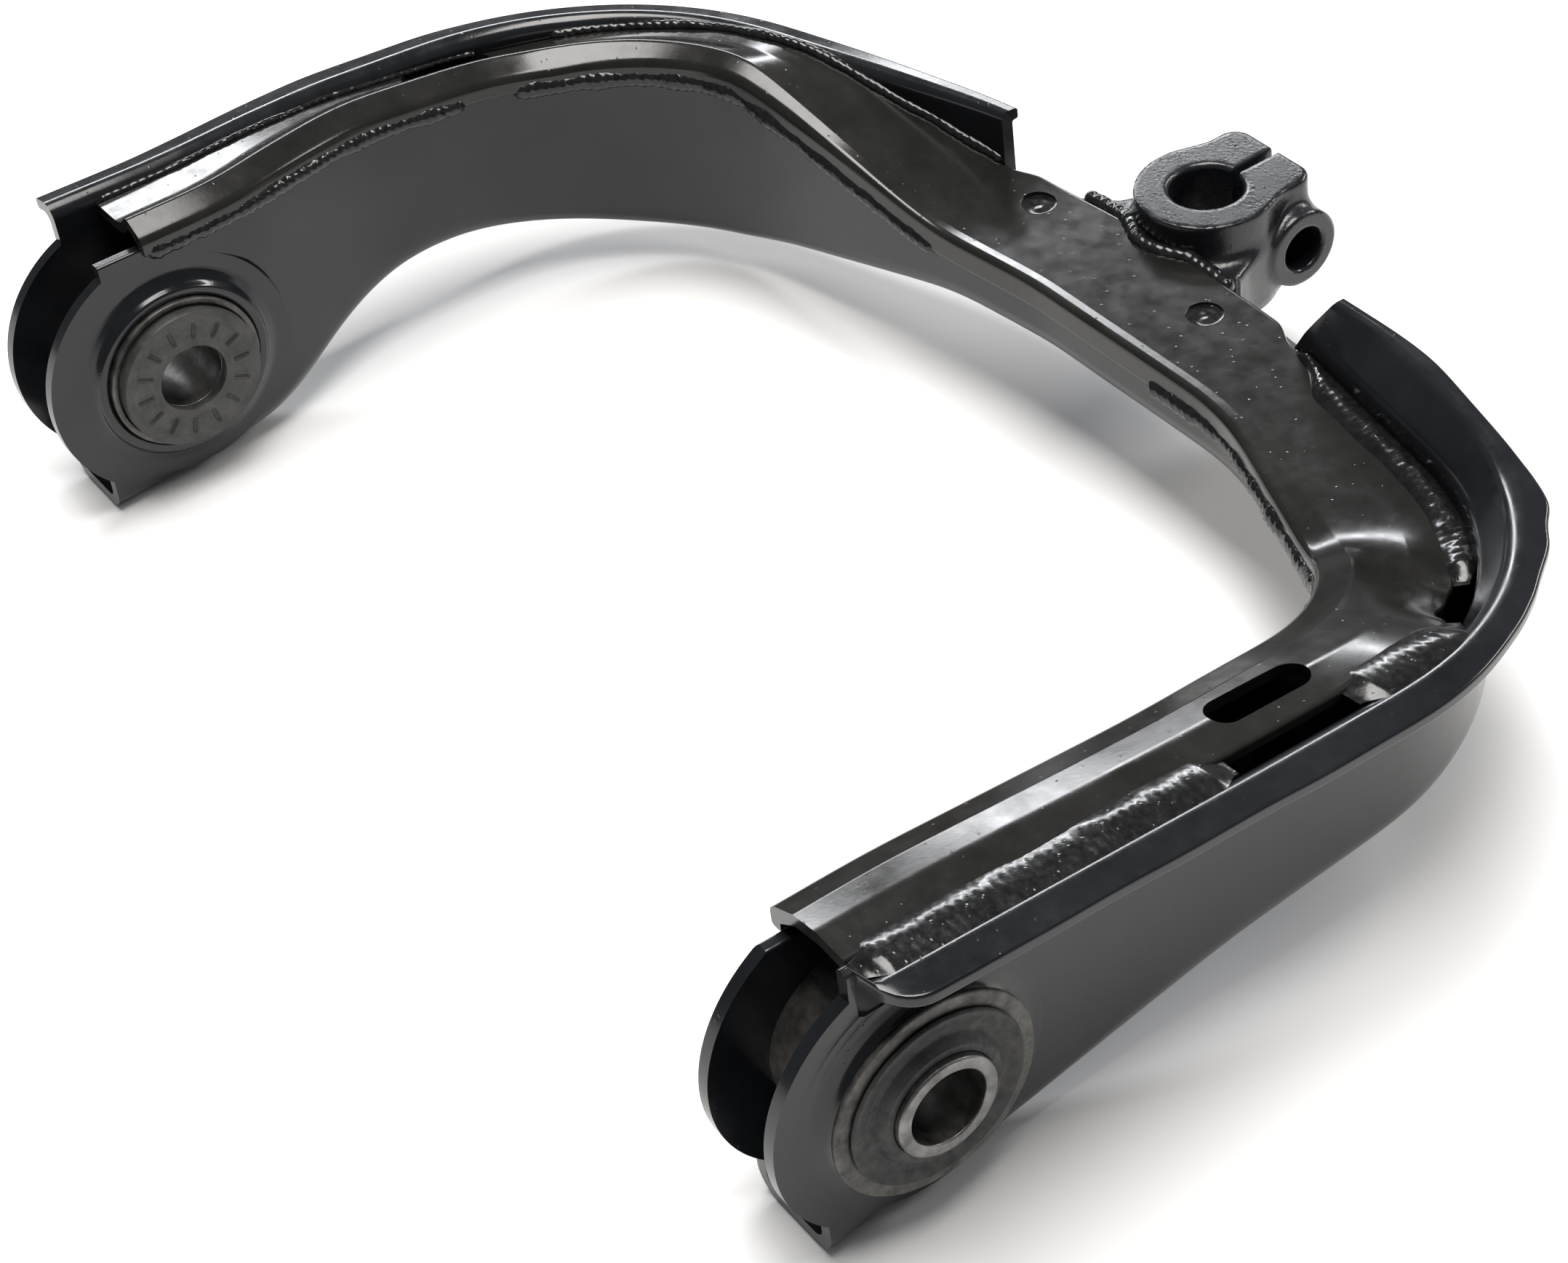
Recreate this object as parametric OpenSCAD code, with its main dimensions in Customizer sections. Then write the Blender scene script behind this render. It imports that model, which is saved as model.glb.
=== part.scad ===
// Wishbone control arm: a pressed steel U channel closed by a top plate, with a forged
// pinch clamp for a ball stud at the apex and a rubber bushing in each leg end.
// X runs along the pivot axis, Y from the pivot axis to the clamp, Z is up.
// The origin is the centre of the serrated face of the left bushing.

/* [Pivot and reach] */
// Distance between the serrated faces of the two bushings
pivot_span = 256; // [215:1:310]
// Distance from the pivot axis to the ball stud axis
reach = 205.5; // [172:0.5:247]
// Radius of the rounded ear around each bushing
ear_r = 33.3; // [30:0.1:40]
// Height of the clamp's top face above the pivot axis
clamp_top_z = 19; // [16:0.5:23]

/* [Pressings] */
// Sheet thickness of the lower channel
channel_t = 3; // [2.5:0.1:3.6]
// Sheet thickness of the top plate
plate_t = 3; // [2.5:0.1:3.6]
// Outside width of the channel at the ears
channel_w = 24; // [21:0.5:29]
// Outside width of the channel at the apex
apex_w = 29; // [25:0.5:34]
// Width of the flange that stands out from the outer wall of the right leg
flange_w = 13; // [10.5:0.5:15.5]
// Depth of the lip that folds down from the plate over the inner wall
lip_h = 7; // [5.5:0.5:8.4]
// Inner corner radius of the yoke, seen from above
yoke_r = 46; // [38:1:55]
// Length of the lightening slot in each leg of the plate
slot_l = 24; // [20:1:29]
// Width of the lightening slot
slot_w = 8.5; // [7:0.5:10.5]

/* [Bushings] */
// Radius of the bolt bore through each bushing
bore_r = 8.5; // [7:0.1:9.2]
// Wall of the inner sleeve
inner_wall = 2.85; // [2.2:0.05:3.4]
// Overall length of a bushing between its two end faces
bush_l = 40; // [36:0.5:48]
// Outside radius of the outer sleeve
outer_r = 19.5; // [18:0.1:21]
// Wall of the outer sleeve
outer_wall = 1.5; // [1.2:0.1:1.8]
// Radius of the serrated washer
washer_r = 17.9; // [15:0.1:18.5]
// Thickness of the serrated washer
washer_t = 2.6; // [2.2:0.1:3.1]
// Number of serrations on the washer
tooth_count = 14; // [10:1:18]

/* [Clamp] */
// Radius of the ball stud bore
stud_r = 8.6; // [7.2:0.1:9.6]
// Outside radius of the clamp ring
ring_r = 17.1; // [16:0.1:20.5]
// Height of the clamp ring
ring_h = 27; // [22:0.5:32]
// Radius of the pinch bolt hole
pinch_r = 5.5; // [4.6:0.1:6.2]
// Width of the clamp's slit
slit_w = 2; // [1.6:0.1:2.4]

/* [Hidden] */
$fn = 72;

mid_x = pivot_span / 2;
run_gap = 0.05;          // radial running clearance of the inner sleeve in the rubber
side_gap = 0.5;          // end clearance between the washer and the rubber
face_standoff = 7.5;     // serrated face to the inner wall of the channel
collar_h = 3;            // height of the collar drawn out round each bushing hole
collar_t = 2.4;          // wall of that collar
rim_t = 1.4;             // thickness of the outer sleeve's rim
rim_over = 3.5;          // how far the rim stands out beyond the outer sleeve
big = 900;               // longer than any cut needs to be

// Sideways places are measured from the centre plane of the yoke
inner_u = mid_x + face_standoff;       // inner wall at the ears
outer_u = inner_u + channel_w;         // outer wall at the ears
edge_out_y = reach - 15.5;             // outer wall at the apex
edge_in_y = edge_out_y - apex_w;       // inner wall at the apex
leg_end_y = -24;                       // square tip under each ear
leg_back = leg_end_y - 20;             // where the height lines and paths start
wall_front_y = -13;                    // front edge of the walls above the ears
flange_front_y = -10.5;                // front edge of the right leg's flange
plate_front_left = -2;                 // front edge of the plate on each leg
plate_front_right = -11;
splay = 9.5;                           // how far the left leg leans out at its knee
knee_y = 0.38 * edge_in_y;
tilt = 13;                             // sideways slope of the plate on the right leg
neck_u = 30;                           // half width of the clamp's neck
opening_left = 46;                     // ends of the gap in the outer wall, at the apex
opening_right = 52;

// Level heights at the apex
web_flat_z = -9.5;
plate_flat_z = 12;
flange_flat_z = 28;
web_tip_z = 0.3 - ear_r;               // underside of the web at the tips of the ears
crown_z = ear_r + 8;                   // top of the plate above the ears
rim_z = ear_r + 6.5;                   // top of the flange above the ears

// ---------- paths ----------
function unit(v) = v / norm(v);
// Arc that rounds the corner p1 between p0 and p2 with radius r, in n steps
function corner(p0, p1, p2, r, n) =
    let (a = unit(p0 - p1), b = unit(p2 - p1), half = acos(a * b) / 2, turn = 180 - 2 * half)
    turn < 0.5 ? [p1] :
    let (c = p1 + unit(a + b) * r / sin(half),
         v0 = p1 + a * r / tan(half) - c, v1 = p1 + b * r / tan(half) - c)
    [for (i = [0:n]) c + (v0 * sin((1 - i / n) * turn) + v1 * sin(i / n * turn)) / sin(turn)];
// Open path through points [x, y, corner radius], corners rounded
function rounded(p, n = 6) = [
    for (i = [0:len(p) - 1])
        let (here = [p[i][0], p[i][1]])
        if (i == 0 || i == len(p) - 1 || p[i][2] == 0) here
        else each corner([p[i-1][0], p[i-1][1]], here, [p[i+1][0], p[i+1][1]], p[i][2], n)];
function reversed(p) = [for (i = [len(p) - 1:-1:0]) p[i]];
// One path from a left half and a right half, both given from the centre plane outwards
function yoke(left, right) =
    concat([for (q = reversed(rounded(left, 8))) [-q[0], q[1]]], rounded(right, 8));
// The path moved sideways by d, away from the inside of the yoke
function shifted(p, d) = [
    for (i = [0:len(p) - 1])
        let (t = unit(p[min(i + 1, len(p) - 1)] - p[max(i - 1, 0)]))
        p[i] + d * [-t[1], t[0]]];
function lifted(line, h) = [for (q = line) [q[0], q[1] + h]];

// Inside faces of the yoke
inner_path = yoke(
    [[6, edge_in_y, 0], [40, edge_in_y - 4, 120], [inner_u + splay + 2, edge_in_y - 20, yoke_r + 12],
     [inner_u + splay + 1.5, knee_y, 60], [inner_u, 22, 60], [inner_u, leg_back, 0]],
    [[6, edge_in_y, 0], [60, edge_in_y + 0.5, 60], [inner_u - 3, edge_in_y - 26, yoke_r],
     [inner_u, knee_y + 12, 60], [inner_u, leg_back, 0]]);
// Outside faces of the channel
outer_path = yoke(
    [[6, edge_out_y, 0], [opening_left, edge_out_y - 4, 150], [outer_u + 4, edge_out_y - 44, yoke_r + 27],
     [outer_u + 4.5, knee_y, 60], [outer_u, 20, 60], [outer_u, leg_back, 0]],
    [[6, edge_out_y, 0], [50, edge_out_y - 0.5, 150], [outer_u, edge_out_y - 21, yoke_r + 20],
     [outer_u, leg_back, 0]]);
// Free edge of the outward flange, trimmed back round the right corner
flange_path = yoke(
    [[6, edge_out_y, 0], [opening_left, edge_out_y - 2.5, 150],
     [outer_u + flange_w - 1.5, edge_out_y - 37, yoke_r + 42],
     [outer_u + flange_w - 0.5, knee_y, 60], [outer_u + 6, 8, 60], [outer_u + 6, leg_back, 0]],
    [[6, edge_out_y, 0], [opening_right + 3, edge_out_y + 1.5, 60], [90, edge_out_y + 1.5, 60],
     [outer_u - 12, edge_out_y - 15.5, yoke_r - 16], [outer_u + 2, edge_out_y - 38, 60],
     [outer_u + flange_w, edge_out_y - 65, 60], [outer_u + flange_w, flange_front_y, 8],
     [outer_u, flange_front_y, 0], [outer_u, leg_back, 0]]);

// Heights along Y: the underside of the web, the top of the plate and the top of the flange
web_left = rounded([[leg_back, web_tip_z - 1.3, 0], [24, web_tip_z + 3.8, 25],
    [knee_y - 16, web_tip_z + 15, 30], [knee_y + 15, web_flat_z - 0.5, 60],
    [edge_in_y - 26, web_flat_z - 15, 40], [big, web_flat_z - 15, 0]]);
web_right = rounded([[leg_back, web_tip_z - 1.5, 0], [9, web_tip_z + 3, 60],
    [knee_y + 14, web_flat_z - 8.5, 90], [edge_in_y - 30, web_flat_z - 4, 60],
    [edge_in_y - 1, web_flat_z, 30], [big, web_flat_z, 0]]);
plate_left = rounded([[leg_back, crown_z, 0], [35, crown_z - 1.3, 90], [knee_y + 5, crown_z - 4.3, 90],
    [edge_in_y - 48, crown_z - 10.5, 60], [big, crown_z - 10.5, 0]]);
plate_right = rounded([[leg_back, crown_z, 0], [10, crown_z - 0.9, 90], [knee_y, crown_z - 5.5, 120],
    [edge_in_y - 60, crown_z - 8.5, 60], [edge_in_y - 22, plate_flat_z + 15.5, 25],
    [edge_in_y - 1, plate_flat_z, 15], [big, plate_flat_z, 0]]);
flange_left = rounded([[leg_back, rim_z + 3, 0], [42, rim_z - 0.3, 120], [knee_y + 42, rim_z - 5.3, 120],
    [edge_out_y - 58, rim_z - 8, 120], [edge_out_y, flange_flat_z, 0], [big, flange_flat_z, 0]]);
flange_right = rounded([[leg_back, rim_z + 0.4, 0], [38, rim_z - 4.8, 120], [knee_y + 22, rim_z - 7.8, 120],
    [edge_out_y - 34, flange_flat_z + 0.6, 120], [edge_out_y, flange_flat_z, 0],
    [big, flange_flat_z, 0]]);
// Underside of the web across the left half, where it rises from the corner to the level apex
web_rise = rounded([[-big, 2 * web_tip_z, 0], [11 - inner_u, 2 * web_tip_z, 0],
    [24 - inner_u, web_flat_z - 15, 10], [-opening_left - 5, web_flat_z - 2.4, 30],
    [-opening_left + 8, web_flat_z, 20], [big, web_flat_z, 0]]);
// Height of the plate across the left half, where it drops to the level apex
plate_drop = rounded([[-big, 200, 0], [-inner_u - 6, 70, 0], [24 - inner_u, crown_z - 9, 30],
    [50 - inner_u, crown_z - 16, 60], [-opening_left - 8, plate_flat_z + 4, 40],
    [-opening_left + 6, plate_flat_z, 30], [big, plate_flat_z, 0]]);

// ---------- shared shapes ----------
// Everything between two lines of heights along Y
module along_y(low, high) {
    rotate([90, 0, 90]) linear_extrude(big, center = true) polygon(concat(low, reversed(high)));
}
// Everything under a line of heights across the arm
module under_across(line) {
    rotate([90, 0, 0]) linear_extrude(2 * big, center = true)
        polygon(concat(line, [[big, -big], [-big, -big]]));
}
// Everything under a line of heights along Y, moved up by h
module under_line(line, h) {
    low = [[line[0][0], -big], [line[len(line) - 1][0], -big]];
    along_y(lifted(low, h), lifted(line, h));
}
// Everything under the top of the plate, moved up by h
module under_plate(h) {
    half(-1) intersection() {
        under_line(plate_left, h);
        under_across(lifted(plate_drop, h));
    }
    half(1) {
        translate([outer_u, 0, crown_z + h]) rotate([0, -tilt, 0])
            translate([0, 0, -crown_z]) under_line(plate_right, 0);
        translate([-1, leg_back, plate_flat_z + h - 200]) cube([big, big, 200]);
    }
}
// Everything under the top of the flange, moved up by h
module under_flange(h) {
    half(-1) under_line(flange_left, h);
    half(1) under_line(flange_right, h);
}
// Everything under the web's lower face, moved up by h
module under_web(h) {
    half(-1) {
        under_line(web_left, h);
        under_across(lifted(web_rise, h));
    }
    half(1) under_line(web_right, h);
}
// The left (-1) or right (1) part of the children
module half(side) {
    intersection() {
        translate([side > 0 ? 0 : -big, -big, -big]) cube([big, 2 * big, 2 * big]);
        union() children();
    }
}
// Upright wall or strip that lies between two paths seen from above
module strip(near, far) {
    linear_extrude(big, center = true) polygon(concat(near, reversed(far)));
}
// Everything behind the line y, that is towards the clamp
module beyond(y) {
    translate([-big / 2, y, -big / 2]) cube([big, big, big]);
}
// Everything behind the plate's front edges
module behind_plate_front() {
    half(-1) beyond(plate_front_left);
    half(1) beyond(plate_front_right);
}
// Place children in the middle of the arm
module centred() {
    translate([mid_x, 0, 0]) children();
}
// Cylinder along X from x0 to x1
module bar_x(r, x0, x1) {
    translate([x0, 0, 0]) rotate([0, 90, 0]) cylinder(r = r, h = x1 - x0);
}
// Side view that both walls share: round ear, square tip and the rising leg behind it
module wall_side() {
    difference() {
        union() {
            bar_x(ear_r, -big / 4, big / 4);
            intersection() {
                beyond(leg_end_y);
                translate([-big / 2, -big / 2, -big]) cube([big, big, big]);
            }
            beyond(wall_front_y);
        }
        under_web(0);
    }
}
// Children at the place of the left bushing and, mirrored, at the right one
module at_both_legs() {
    children();
    translate([pivot_span, 0, 0]) mirror([1, 0, 0]) children();
}

// ---------- pressings ----------
module collars() {
    wall_in = -face_standoff;
    wall_out = -face_standoff - channel_w;
    bar_x(outer_r + collar_t, wall_in - channel_t, wall_in + collar_h);
    bar_x(outer_r + collar_t, wall_out - collar_h, wall_out + channel_t);
}
module inner_wall_shape() {
    intersection() {
        strip(inner_path, shifted(inner_path, channel_t));
        wall_side();
        under_plate(-plate_t);
    }
}
module outer_wall_shape() {
    difference() {
        intersection() {
            strip(shifted(outer_path, -channel_t), outer_path);
            wall_side();
            under_flange(0);
        }
        opening();
    }
}
module web_shape() {
    intersection() {
        strip(inner_path, outer_path);
        beyond(leg_end_y);
        difference() {
            under_web(channel_t);
            under_web(0);
        }
    }
}
module flange_shape() {
    difference() {
        intersection() {
            strip(shifted(outer_path, -channel_t), flange_path);
            beyond(wall_front_y);
            under_flange(0);
        }
        under_flange(-channel_t);
        opening();
    }
}
// The gap in the outer wall and flange at the apex
module opening() {
    translate([0, edge_out_y + 50, 0]) rotate([90, 0, 0]) linear_extrude(80) polygon([
        [-opening_left, plate_flat_z - plate_t], [opening_right, plate_flat_z - plate_t],
        [opening_right, plate_flat_z], [opening_right + 12, flange_flat_z + 2],
        [opening_right + 12, 2 * flange_flat_z], [-opening_left, 2 * flange_flat_z]]);
    translate([-neck_u, edge_out_y - 30, web_flat_z + channel_t])
        cube([2 * neck_u, 80, big]);
}
module lower_channel() {
    color([0.09, 0.09, 0.1]) difference() {
        union() {
            centred() {
                inner_wall_shape();
                outer_wall_shape();
                web_shape();
                flange_shape();
            }
            at_both_legs() collars();
        }
        centred() clamp_ring(200, -100);
        at_both_legs() bar_x(outer_r, -bush_l - 9, 9);
    }
}

module upper_plate() {
    color([0.12, 0.12, 0.12]) difference() {
        centred() intersection() {
            union() {
                difference() {
                    union() {
                        strip(shifted(inner_path, -plate_t), shifted(outer_path, -channel_t));
                        plate_tongue();
                    }
                    under_plate(-plate_t);
                }
                // lip folded down over the inner wall
                difference() {
                    strip(shifted(inner_path, -plate_t), inner_path);
                    under_plate(-lip_h);
                }
            }
            under_plate(0);
            behind_plate_front();
        }
        translate([-splay + 2, 0, 0]) leg_slot();
        translate([pivot_span, 0, 0]) mirror([1, 0, 0]) leg_slot();
        centred() {
            clamp_ring(200, -100);
            for (side = [-1, 1]) plug_hole(side);
        }
    }
}
// Part of the plate that reaches out through the gap in the outer wall
module plate_tongue() {
    gap = 1;
    cut = 9;
    linear_extrude(big, center = true) polygon([
        [-opening_left + gap, edge_out_y - 14], [-opening_left + gap, edge_out_y - cut + 2],
        [-opening_left + cut, edge_out_y], [opening_right - cut, edge_out_y],
        [opening_right - gap, edge_out_y - cut + 2], [opening_right - gap, edge_out_y - 14]]);
}
// Lightening slot with round ends in the middle of a leg
module leg_slot() {
    x = -face_standoff - channel_w / 2 - 1;
    y = 0.58 * edge_in_y;
    for (end = [-1, 1])
        translate([x, y + end * (slot_l - slot_w) / 2, -5]) cylinder(d = slot_w, h = 80);
    translate([x - slot_w / 2, y - (slot_l - slot_w) / 2, -5])
        cube([slot_w, slot_l - slot_w, 80]);
}
plug_r = 4.6;
plug_y = edge_out_y - 11;
module plug_hole(side) {
    translate([side * neck_u, plug_y, plate_flat_z - plate_t - 1])
        cylinder(r = plug_r, h = plate_t + 2);
}

// ---------- clamp forging ----------
pinch_y = stud_r + pinch_r - 0.2;      // pinch bolt axis beyond the stud axis
boss_r = pinch_r + 4.3;
boss_u = ring_r + 1.2;                 // half length of the pinch boss
lug_u = ring_r - 3;                    // half width of the lug that carries the boss
lug_y = pinch_y + boss_r - 2;          // far face of that lug, from the stud axis
tang_l = 18;                           // how far the tang reaches into the channel
// Round body of the clamp, h tall from the height low
module clamp_ring(h, low) {
    translate([0, reach, low]) cylinder(r = ring_r, h = h);
}
module ball_joint_clamp() {
    bottom = clamp_top_z - ring_h;
    pinch_z = clamp_top_z - boss_r - 5.9;
    tang_low = web_flat_z + channel_t;
    tang_high = plate_flat_z - plate_t;
    color([0.1, 0.1, 0.1]) centred() translate([0, reach, 0]) difference() {
        union() {
            translate([0, 0, bottom]) cylinder(r = ring_r, h = ring_h);
            // pinch boss and the lug that joins it to the ring
            translate([0, pinch_y, pinch_z]) bar_x(boss_r, -boss_u, boss_u);
            translate([0, 0, pinch_z - boss_r]) linear_extrude(clamp_top_z - pinch_z + boss_r)
                polygon([[-lug_u, 0], [lug_u, 0], [lug_u, lug_y - 8], [lug_u - 5, lug_y],
                         [5 - lug_u, lug_y], [-lug_u, lug_y - 8]]);
            // neck and the tang held between the two pressings
            translate([0, 0, tang_low]) linear_extrude(tang_high - tang_low)
                polygon([[-neck_u, edge_out_y - reach - tang_l], [neck_u, edge_out_y - reach - tang_l],
                         [neck_u, edge_out_y - reach], [ring_r * 0.94, ring_r * 0.3],
                         [-ring_r * 0.94, ring_r * 0.3], [-neck_u, edge_out_y - reach]]);
        }
        translate([0, 0, bottom - 1]) cylinder(r = stud_r, h = ring_h + 2);
        translate([0, 0, clamp_top_z - 0.8]) cylinder(r1 = stud_r - 0.1, r2 = stud_r + 0.9, h = 1);
        translate([0, pinch_y, pinch_z]) bar_x(pinch_r, -boss_u - 1, boss_u + 1);
        translate([-slit_w / 2, 0, bottom - 1]) cube([slit_w, ring_r * 2, ring_h + 20]);
    }
}

// ---------- welds ----------
bead = 2.6;                            // leg length of a weld bead
inner_gap_left = 40;                   // the inner seam is left open between these two
inner_gap_right = 34;
// Bead under the lip of the plate, along the inner wall
module inner_seam() {
    intersection() {
        strip(shifted(inner_path, -bead), inner_path);
        behind_plate_front();
        difference() {
            under_plate(-lip_h);
            under_plate(-lip_h - bead);
        }
    }
}
module inner_weld_left() {
    color([0.16, 0.16, 0.16]) difference() {
        centred() intersection() {
            inner_seam();
            translate([-big, -big / 2, -big / 2]) cube([big - inner_gap_left, big, big]);
        }
        collars();
    }
}
module inner_weld_right() {
    color([0.16, 0.16, 0.16]) difference() {
        centred() intersection() {
            inner_seam();
            translate([inner_gap_right, -big / 2, -big / 2]) cube([big, big, big]);
        }
        right_side() collars();
    }
}
// Bead on top of the plate, along the outer wall
module outer_seam() {
    intersection() {
        strip(shifted(outer_path, -channel_t - bead), shifted(outer_path, -channel_t));
        behind_plate_front();
        difference() {
            under_plate(bead);
            under_plate(0);
        }
    }
}
module outer_weld_left() {
    color([0.16, 0.16, 0.16]) centred() intersection() {
        outer_seam();
        translate([-big, -big / 2, -big / 2]) cube([big - opening_left, big, big]);
    }
}
module outer_weld_right() {
    color([0.16, 0.16, 0.16]) centred() intersection() {
        outer_seam();
        translate([opening_right, -big / 2, -big / 2]) cube([big, big, big]);
    }
}
// Bead along the edge of the plate on the neck of the clamp, carried round the ring
module clamp_weld() {
    half_l = neck_u - 4;
    color([0.16, 0.16, 0.16]) centred() difference() {
        translate([0, 0, plate_flat_z - plate_t]) linear_extrude(plate_t + 1.6) {
            translate([-half_l, edge_out_y]) square([2 * half_l, bead]);
            intersection() {
                translate([0, reach]) circle(ring_r + bead);
                translate([-half_l, edge_out_y - 9]) square([2 * half_l, 9 + bead]);
            }
        }
        clamp_ring(200, -100);
        translate([-half_l, 0, 0]) cube([2 * half_l, edge_out_y, plate_flat_z]);
    }
}
// Plug weld through a hole in the plate into the tang of the clamp
module plug_weld(side) {
    color([0.16, 0.16, 0.16]) centred()
        translate([side * neck_u, plug_y, plate_flat_z - plate_t])
            cylinder(r = plug_r, h = plate_t - 1.2);
}
module plug_weld_left() { plug_weld(-1); }
module plug_weld_right() { plug_weld(1); }

// ---------- bushings ----------
// Each is drawn at the left leg, from its serrated face at 0 outwards to -bush_l
sleeve_in_x = -washer_t - side_gap - 0.4;
rim_x = -face_standoff - channel_w - collar_h;
inner_r = bore_r + inner_wall;
rubber_r = outer_r - outer_wall;
module ring_x(profile) {
    rotate([0, -90, 0]) rotate_extrude() polygon(profile);
}
module outer_sleeve() {
    out = -rim_x;
    color([0.62, 0.62, 0.6]) ring_x([[rubber_r, -sleeve_in_x], [outer_r, -sleeve_in_x],
        [outer_r, out], [outer_r + rim_over, out], [outer_r + rim_over, out + rim_t],
        [rubber_r, out + rim_t]]);
}
module rubber() {
    out = -rim_x + rim_t;
    near = washer_t + side_gap;
    nose = bush_l - 1.6;
    color([0.13, 0.13, 0.13]) ring_x([[inner_r + run_gap, near], [rubber_r - 1.5, near],
        [rubber_r, near + 1.5], [rubber_r, out + 0.2], [rubber_r + 1.8, out + 0.2],
        [rubber_r + 0.8, out + 1.4], [rubber_r - 2, out + 0.6], [rubber_r - 3, out + 0.4],
        [inner_r + 3.2, out + 1.2], [inner_r + 2.2, nose], [inner_r + run_gap, nose]]);
}
module inner_sleeve() {
    color([0.7, 0.7, 0.68]) ring_x([[bore_r, washer_t], [inner_r, washer_t],
        [inner_r, bush_l - 0.5], [inner_r - 0.5, bush_l], [bore_r, bush_l]]);
}
// Washer whose outer face is scored so that it bites into the bracket
module serrated_washer() {
    groove = 0.35;
    color([0.45, 0.45, 0.44]) difference() {
        ring_x([[bore_r, 0], [washer_r - 0.6, 0], [washer_r, 0.6], [washer_r, washer_t],
            [bore_r, washer_t]]);
        for (i = [0:tooth_count - 1]) rotate([360 / tooth_count * (i + 0.5), 0, 0])
            translate([-groove, -0.5, bore_r + 2.6])
                cube([1, 1, washer_r - bore_r - 5]);
    }
}
module right_side() {
    translate([pivot_span, 0, 0]) mirror([1, 0, 0]) children();
}
module left_outer_sleeve() { outer_sleeve(); }
module left_rubber() { rubber(); }
module left_inner_sleeve() { inner_sleeve(); }
module left_serrated_washer() { serrated_washer(); }
module right_outer_sleeve() { right_side() outer_sleeve(); }
module right_rubber() { right_side() rubber(); }
module right_inner_sleeve() { right_side() inner_sleeve(); }
module right_serrated_washer() { right_side() serrated_washer(); }

lower_channel();
upper_plate();
ball_joint_clamp();
inner_weld_left();
inner_weld_right();
outer_weld_left();
outer_weld_right();
clamp_weld();
plug_weld_left();
plug_weld_right();
left_outer_sleeve();
left_rubber();
left_inner_sleeve();
left_serrated_washer();
right_outer_sleeve();
right_rubber();
right_inner_sleeve();
right_serrated_washer();
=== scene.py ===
"""Pressed steel control arm with a forged ball stud clamp and two rubber bushings.

Sizes are in millimetres on the arm's own axes (X along the pivot axis, Y towards the clamp,
Z up) and become metres when a mesh is made. Sideways places called u are measured from the
arm's centre plane.
"""

import logging
import math
from dataclasses import dataclass, field
from enum import Enum

import bpy
import numpy as np
from mathutils import Matrix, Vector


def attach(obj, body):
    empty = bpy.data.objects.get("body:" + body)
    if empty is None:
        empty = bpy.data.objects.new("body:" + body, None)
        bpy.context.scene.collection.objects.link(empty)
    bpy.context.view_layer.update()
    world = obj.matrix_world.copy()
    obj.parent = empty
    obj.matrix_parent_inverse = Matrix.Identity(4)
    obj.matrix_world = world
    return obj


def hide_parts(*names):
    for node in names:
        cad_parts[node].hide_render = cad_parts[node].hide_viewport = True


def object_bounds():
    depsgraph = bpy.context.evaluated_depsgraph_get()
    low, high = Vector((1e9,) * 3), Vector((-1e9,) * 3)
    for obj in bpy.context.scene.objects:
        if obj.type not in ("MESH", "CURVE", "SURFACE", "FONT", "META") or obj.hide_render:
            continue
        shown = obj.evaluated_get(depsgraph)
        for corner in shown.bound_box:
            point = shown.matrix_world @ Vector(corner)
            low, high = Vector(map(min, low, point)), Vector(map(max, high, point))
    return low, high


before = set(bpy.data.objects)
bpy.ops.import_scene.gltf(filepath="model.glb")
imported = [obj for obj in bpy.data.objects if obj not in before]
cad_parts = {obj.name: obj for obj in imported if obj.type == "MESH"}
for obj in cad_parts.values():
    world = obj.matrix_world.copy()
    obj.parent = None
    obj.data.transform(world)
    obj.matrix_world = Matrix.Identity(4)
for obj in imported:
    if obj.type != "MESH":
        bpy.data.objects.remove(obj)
CAD_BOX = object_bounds()
MM = 0.001  # metres in a millimetre
MID_X = 128.0  # the arm's centre plane, halfway between the bushings' serrated faces
SPAN = 2 * MID_X
REACH = 205.5  # stud axis from the pivot axis
PLUG_U, PLUG_Y = 30.0, 179.0  # the plug welds, either side of the centre plane
BEAD_STEP = 0.45  # distance between the rings of a weld bead
LOG = logging.getLogger("control_arm")
Array = np.ndarray


class Side(Enum):
    """Which leg of the arm a piece belongs to."""

    LEFT = -1
    RIGHT = 1


class Cut(Enum):
    """How a cutting solid works on a piece."""

    AWAY = "DIFFERENCE"
    KEEP = "INTERSECT"


# ---------------------------------------------------------------- curves and grids


def spread_along(values: Array, spread: float, step: float) -> Array:
    """Smooth rows of values along a path.

    Each row becomes the mean of its neighbours weighted by exp(-d^2 / 2 spread^2). Beyond an
    end the rows carry on as the mirror image turned through that end, so straight ends stay
    straight.

    Args:
        values: rows along the path, of one or more columns.
        spread: standard deviation of the weights, in mm.
        step: distance between rows, in mm.

    Returns:
        Array: the smoothed rows, of the same shape.
    """
    flat = values[:, None] if values.ndim == 1 else values
    reach = min(int(3 * spread / step) + 1, len(flat) - 1)
    head = 2 * flat[0] - flat[reach:0:-1]
    tail = 2 * flat[-1] - flat[-2:-reach - 2:-1]
    padded = np.concatenate([head, flat, tail])
    offsets = np.arange(-reach, reach + 1) * step
    weights = np.exp(-0.5 * (offsets / spread) ** 2)
    weights /= weights.sum()
    smooth = np.stack(
        [np.convolve(padded[:, k], weights, mode="valid") for k in range(flat.shape[1])], axis=1
    )
    return smooth[:, 0] if values.ndim == 1 else smooth


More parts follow.
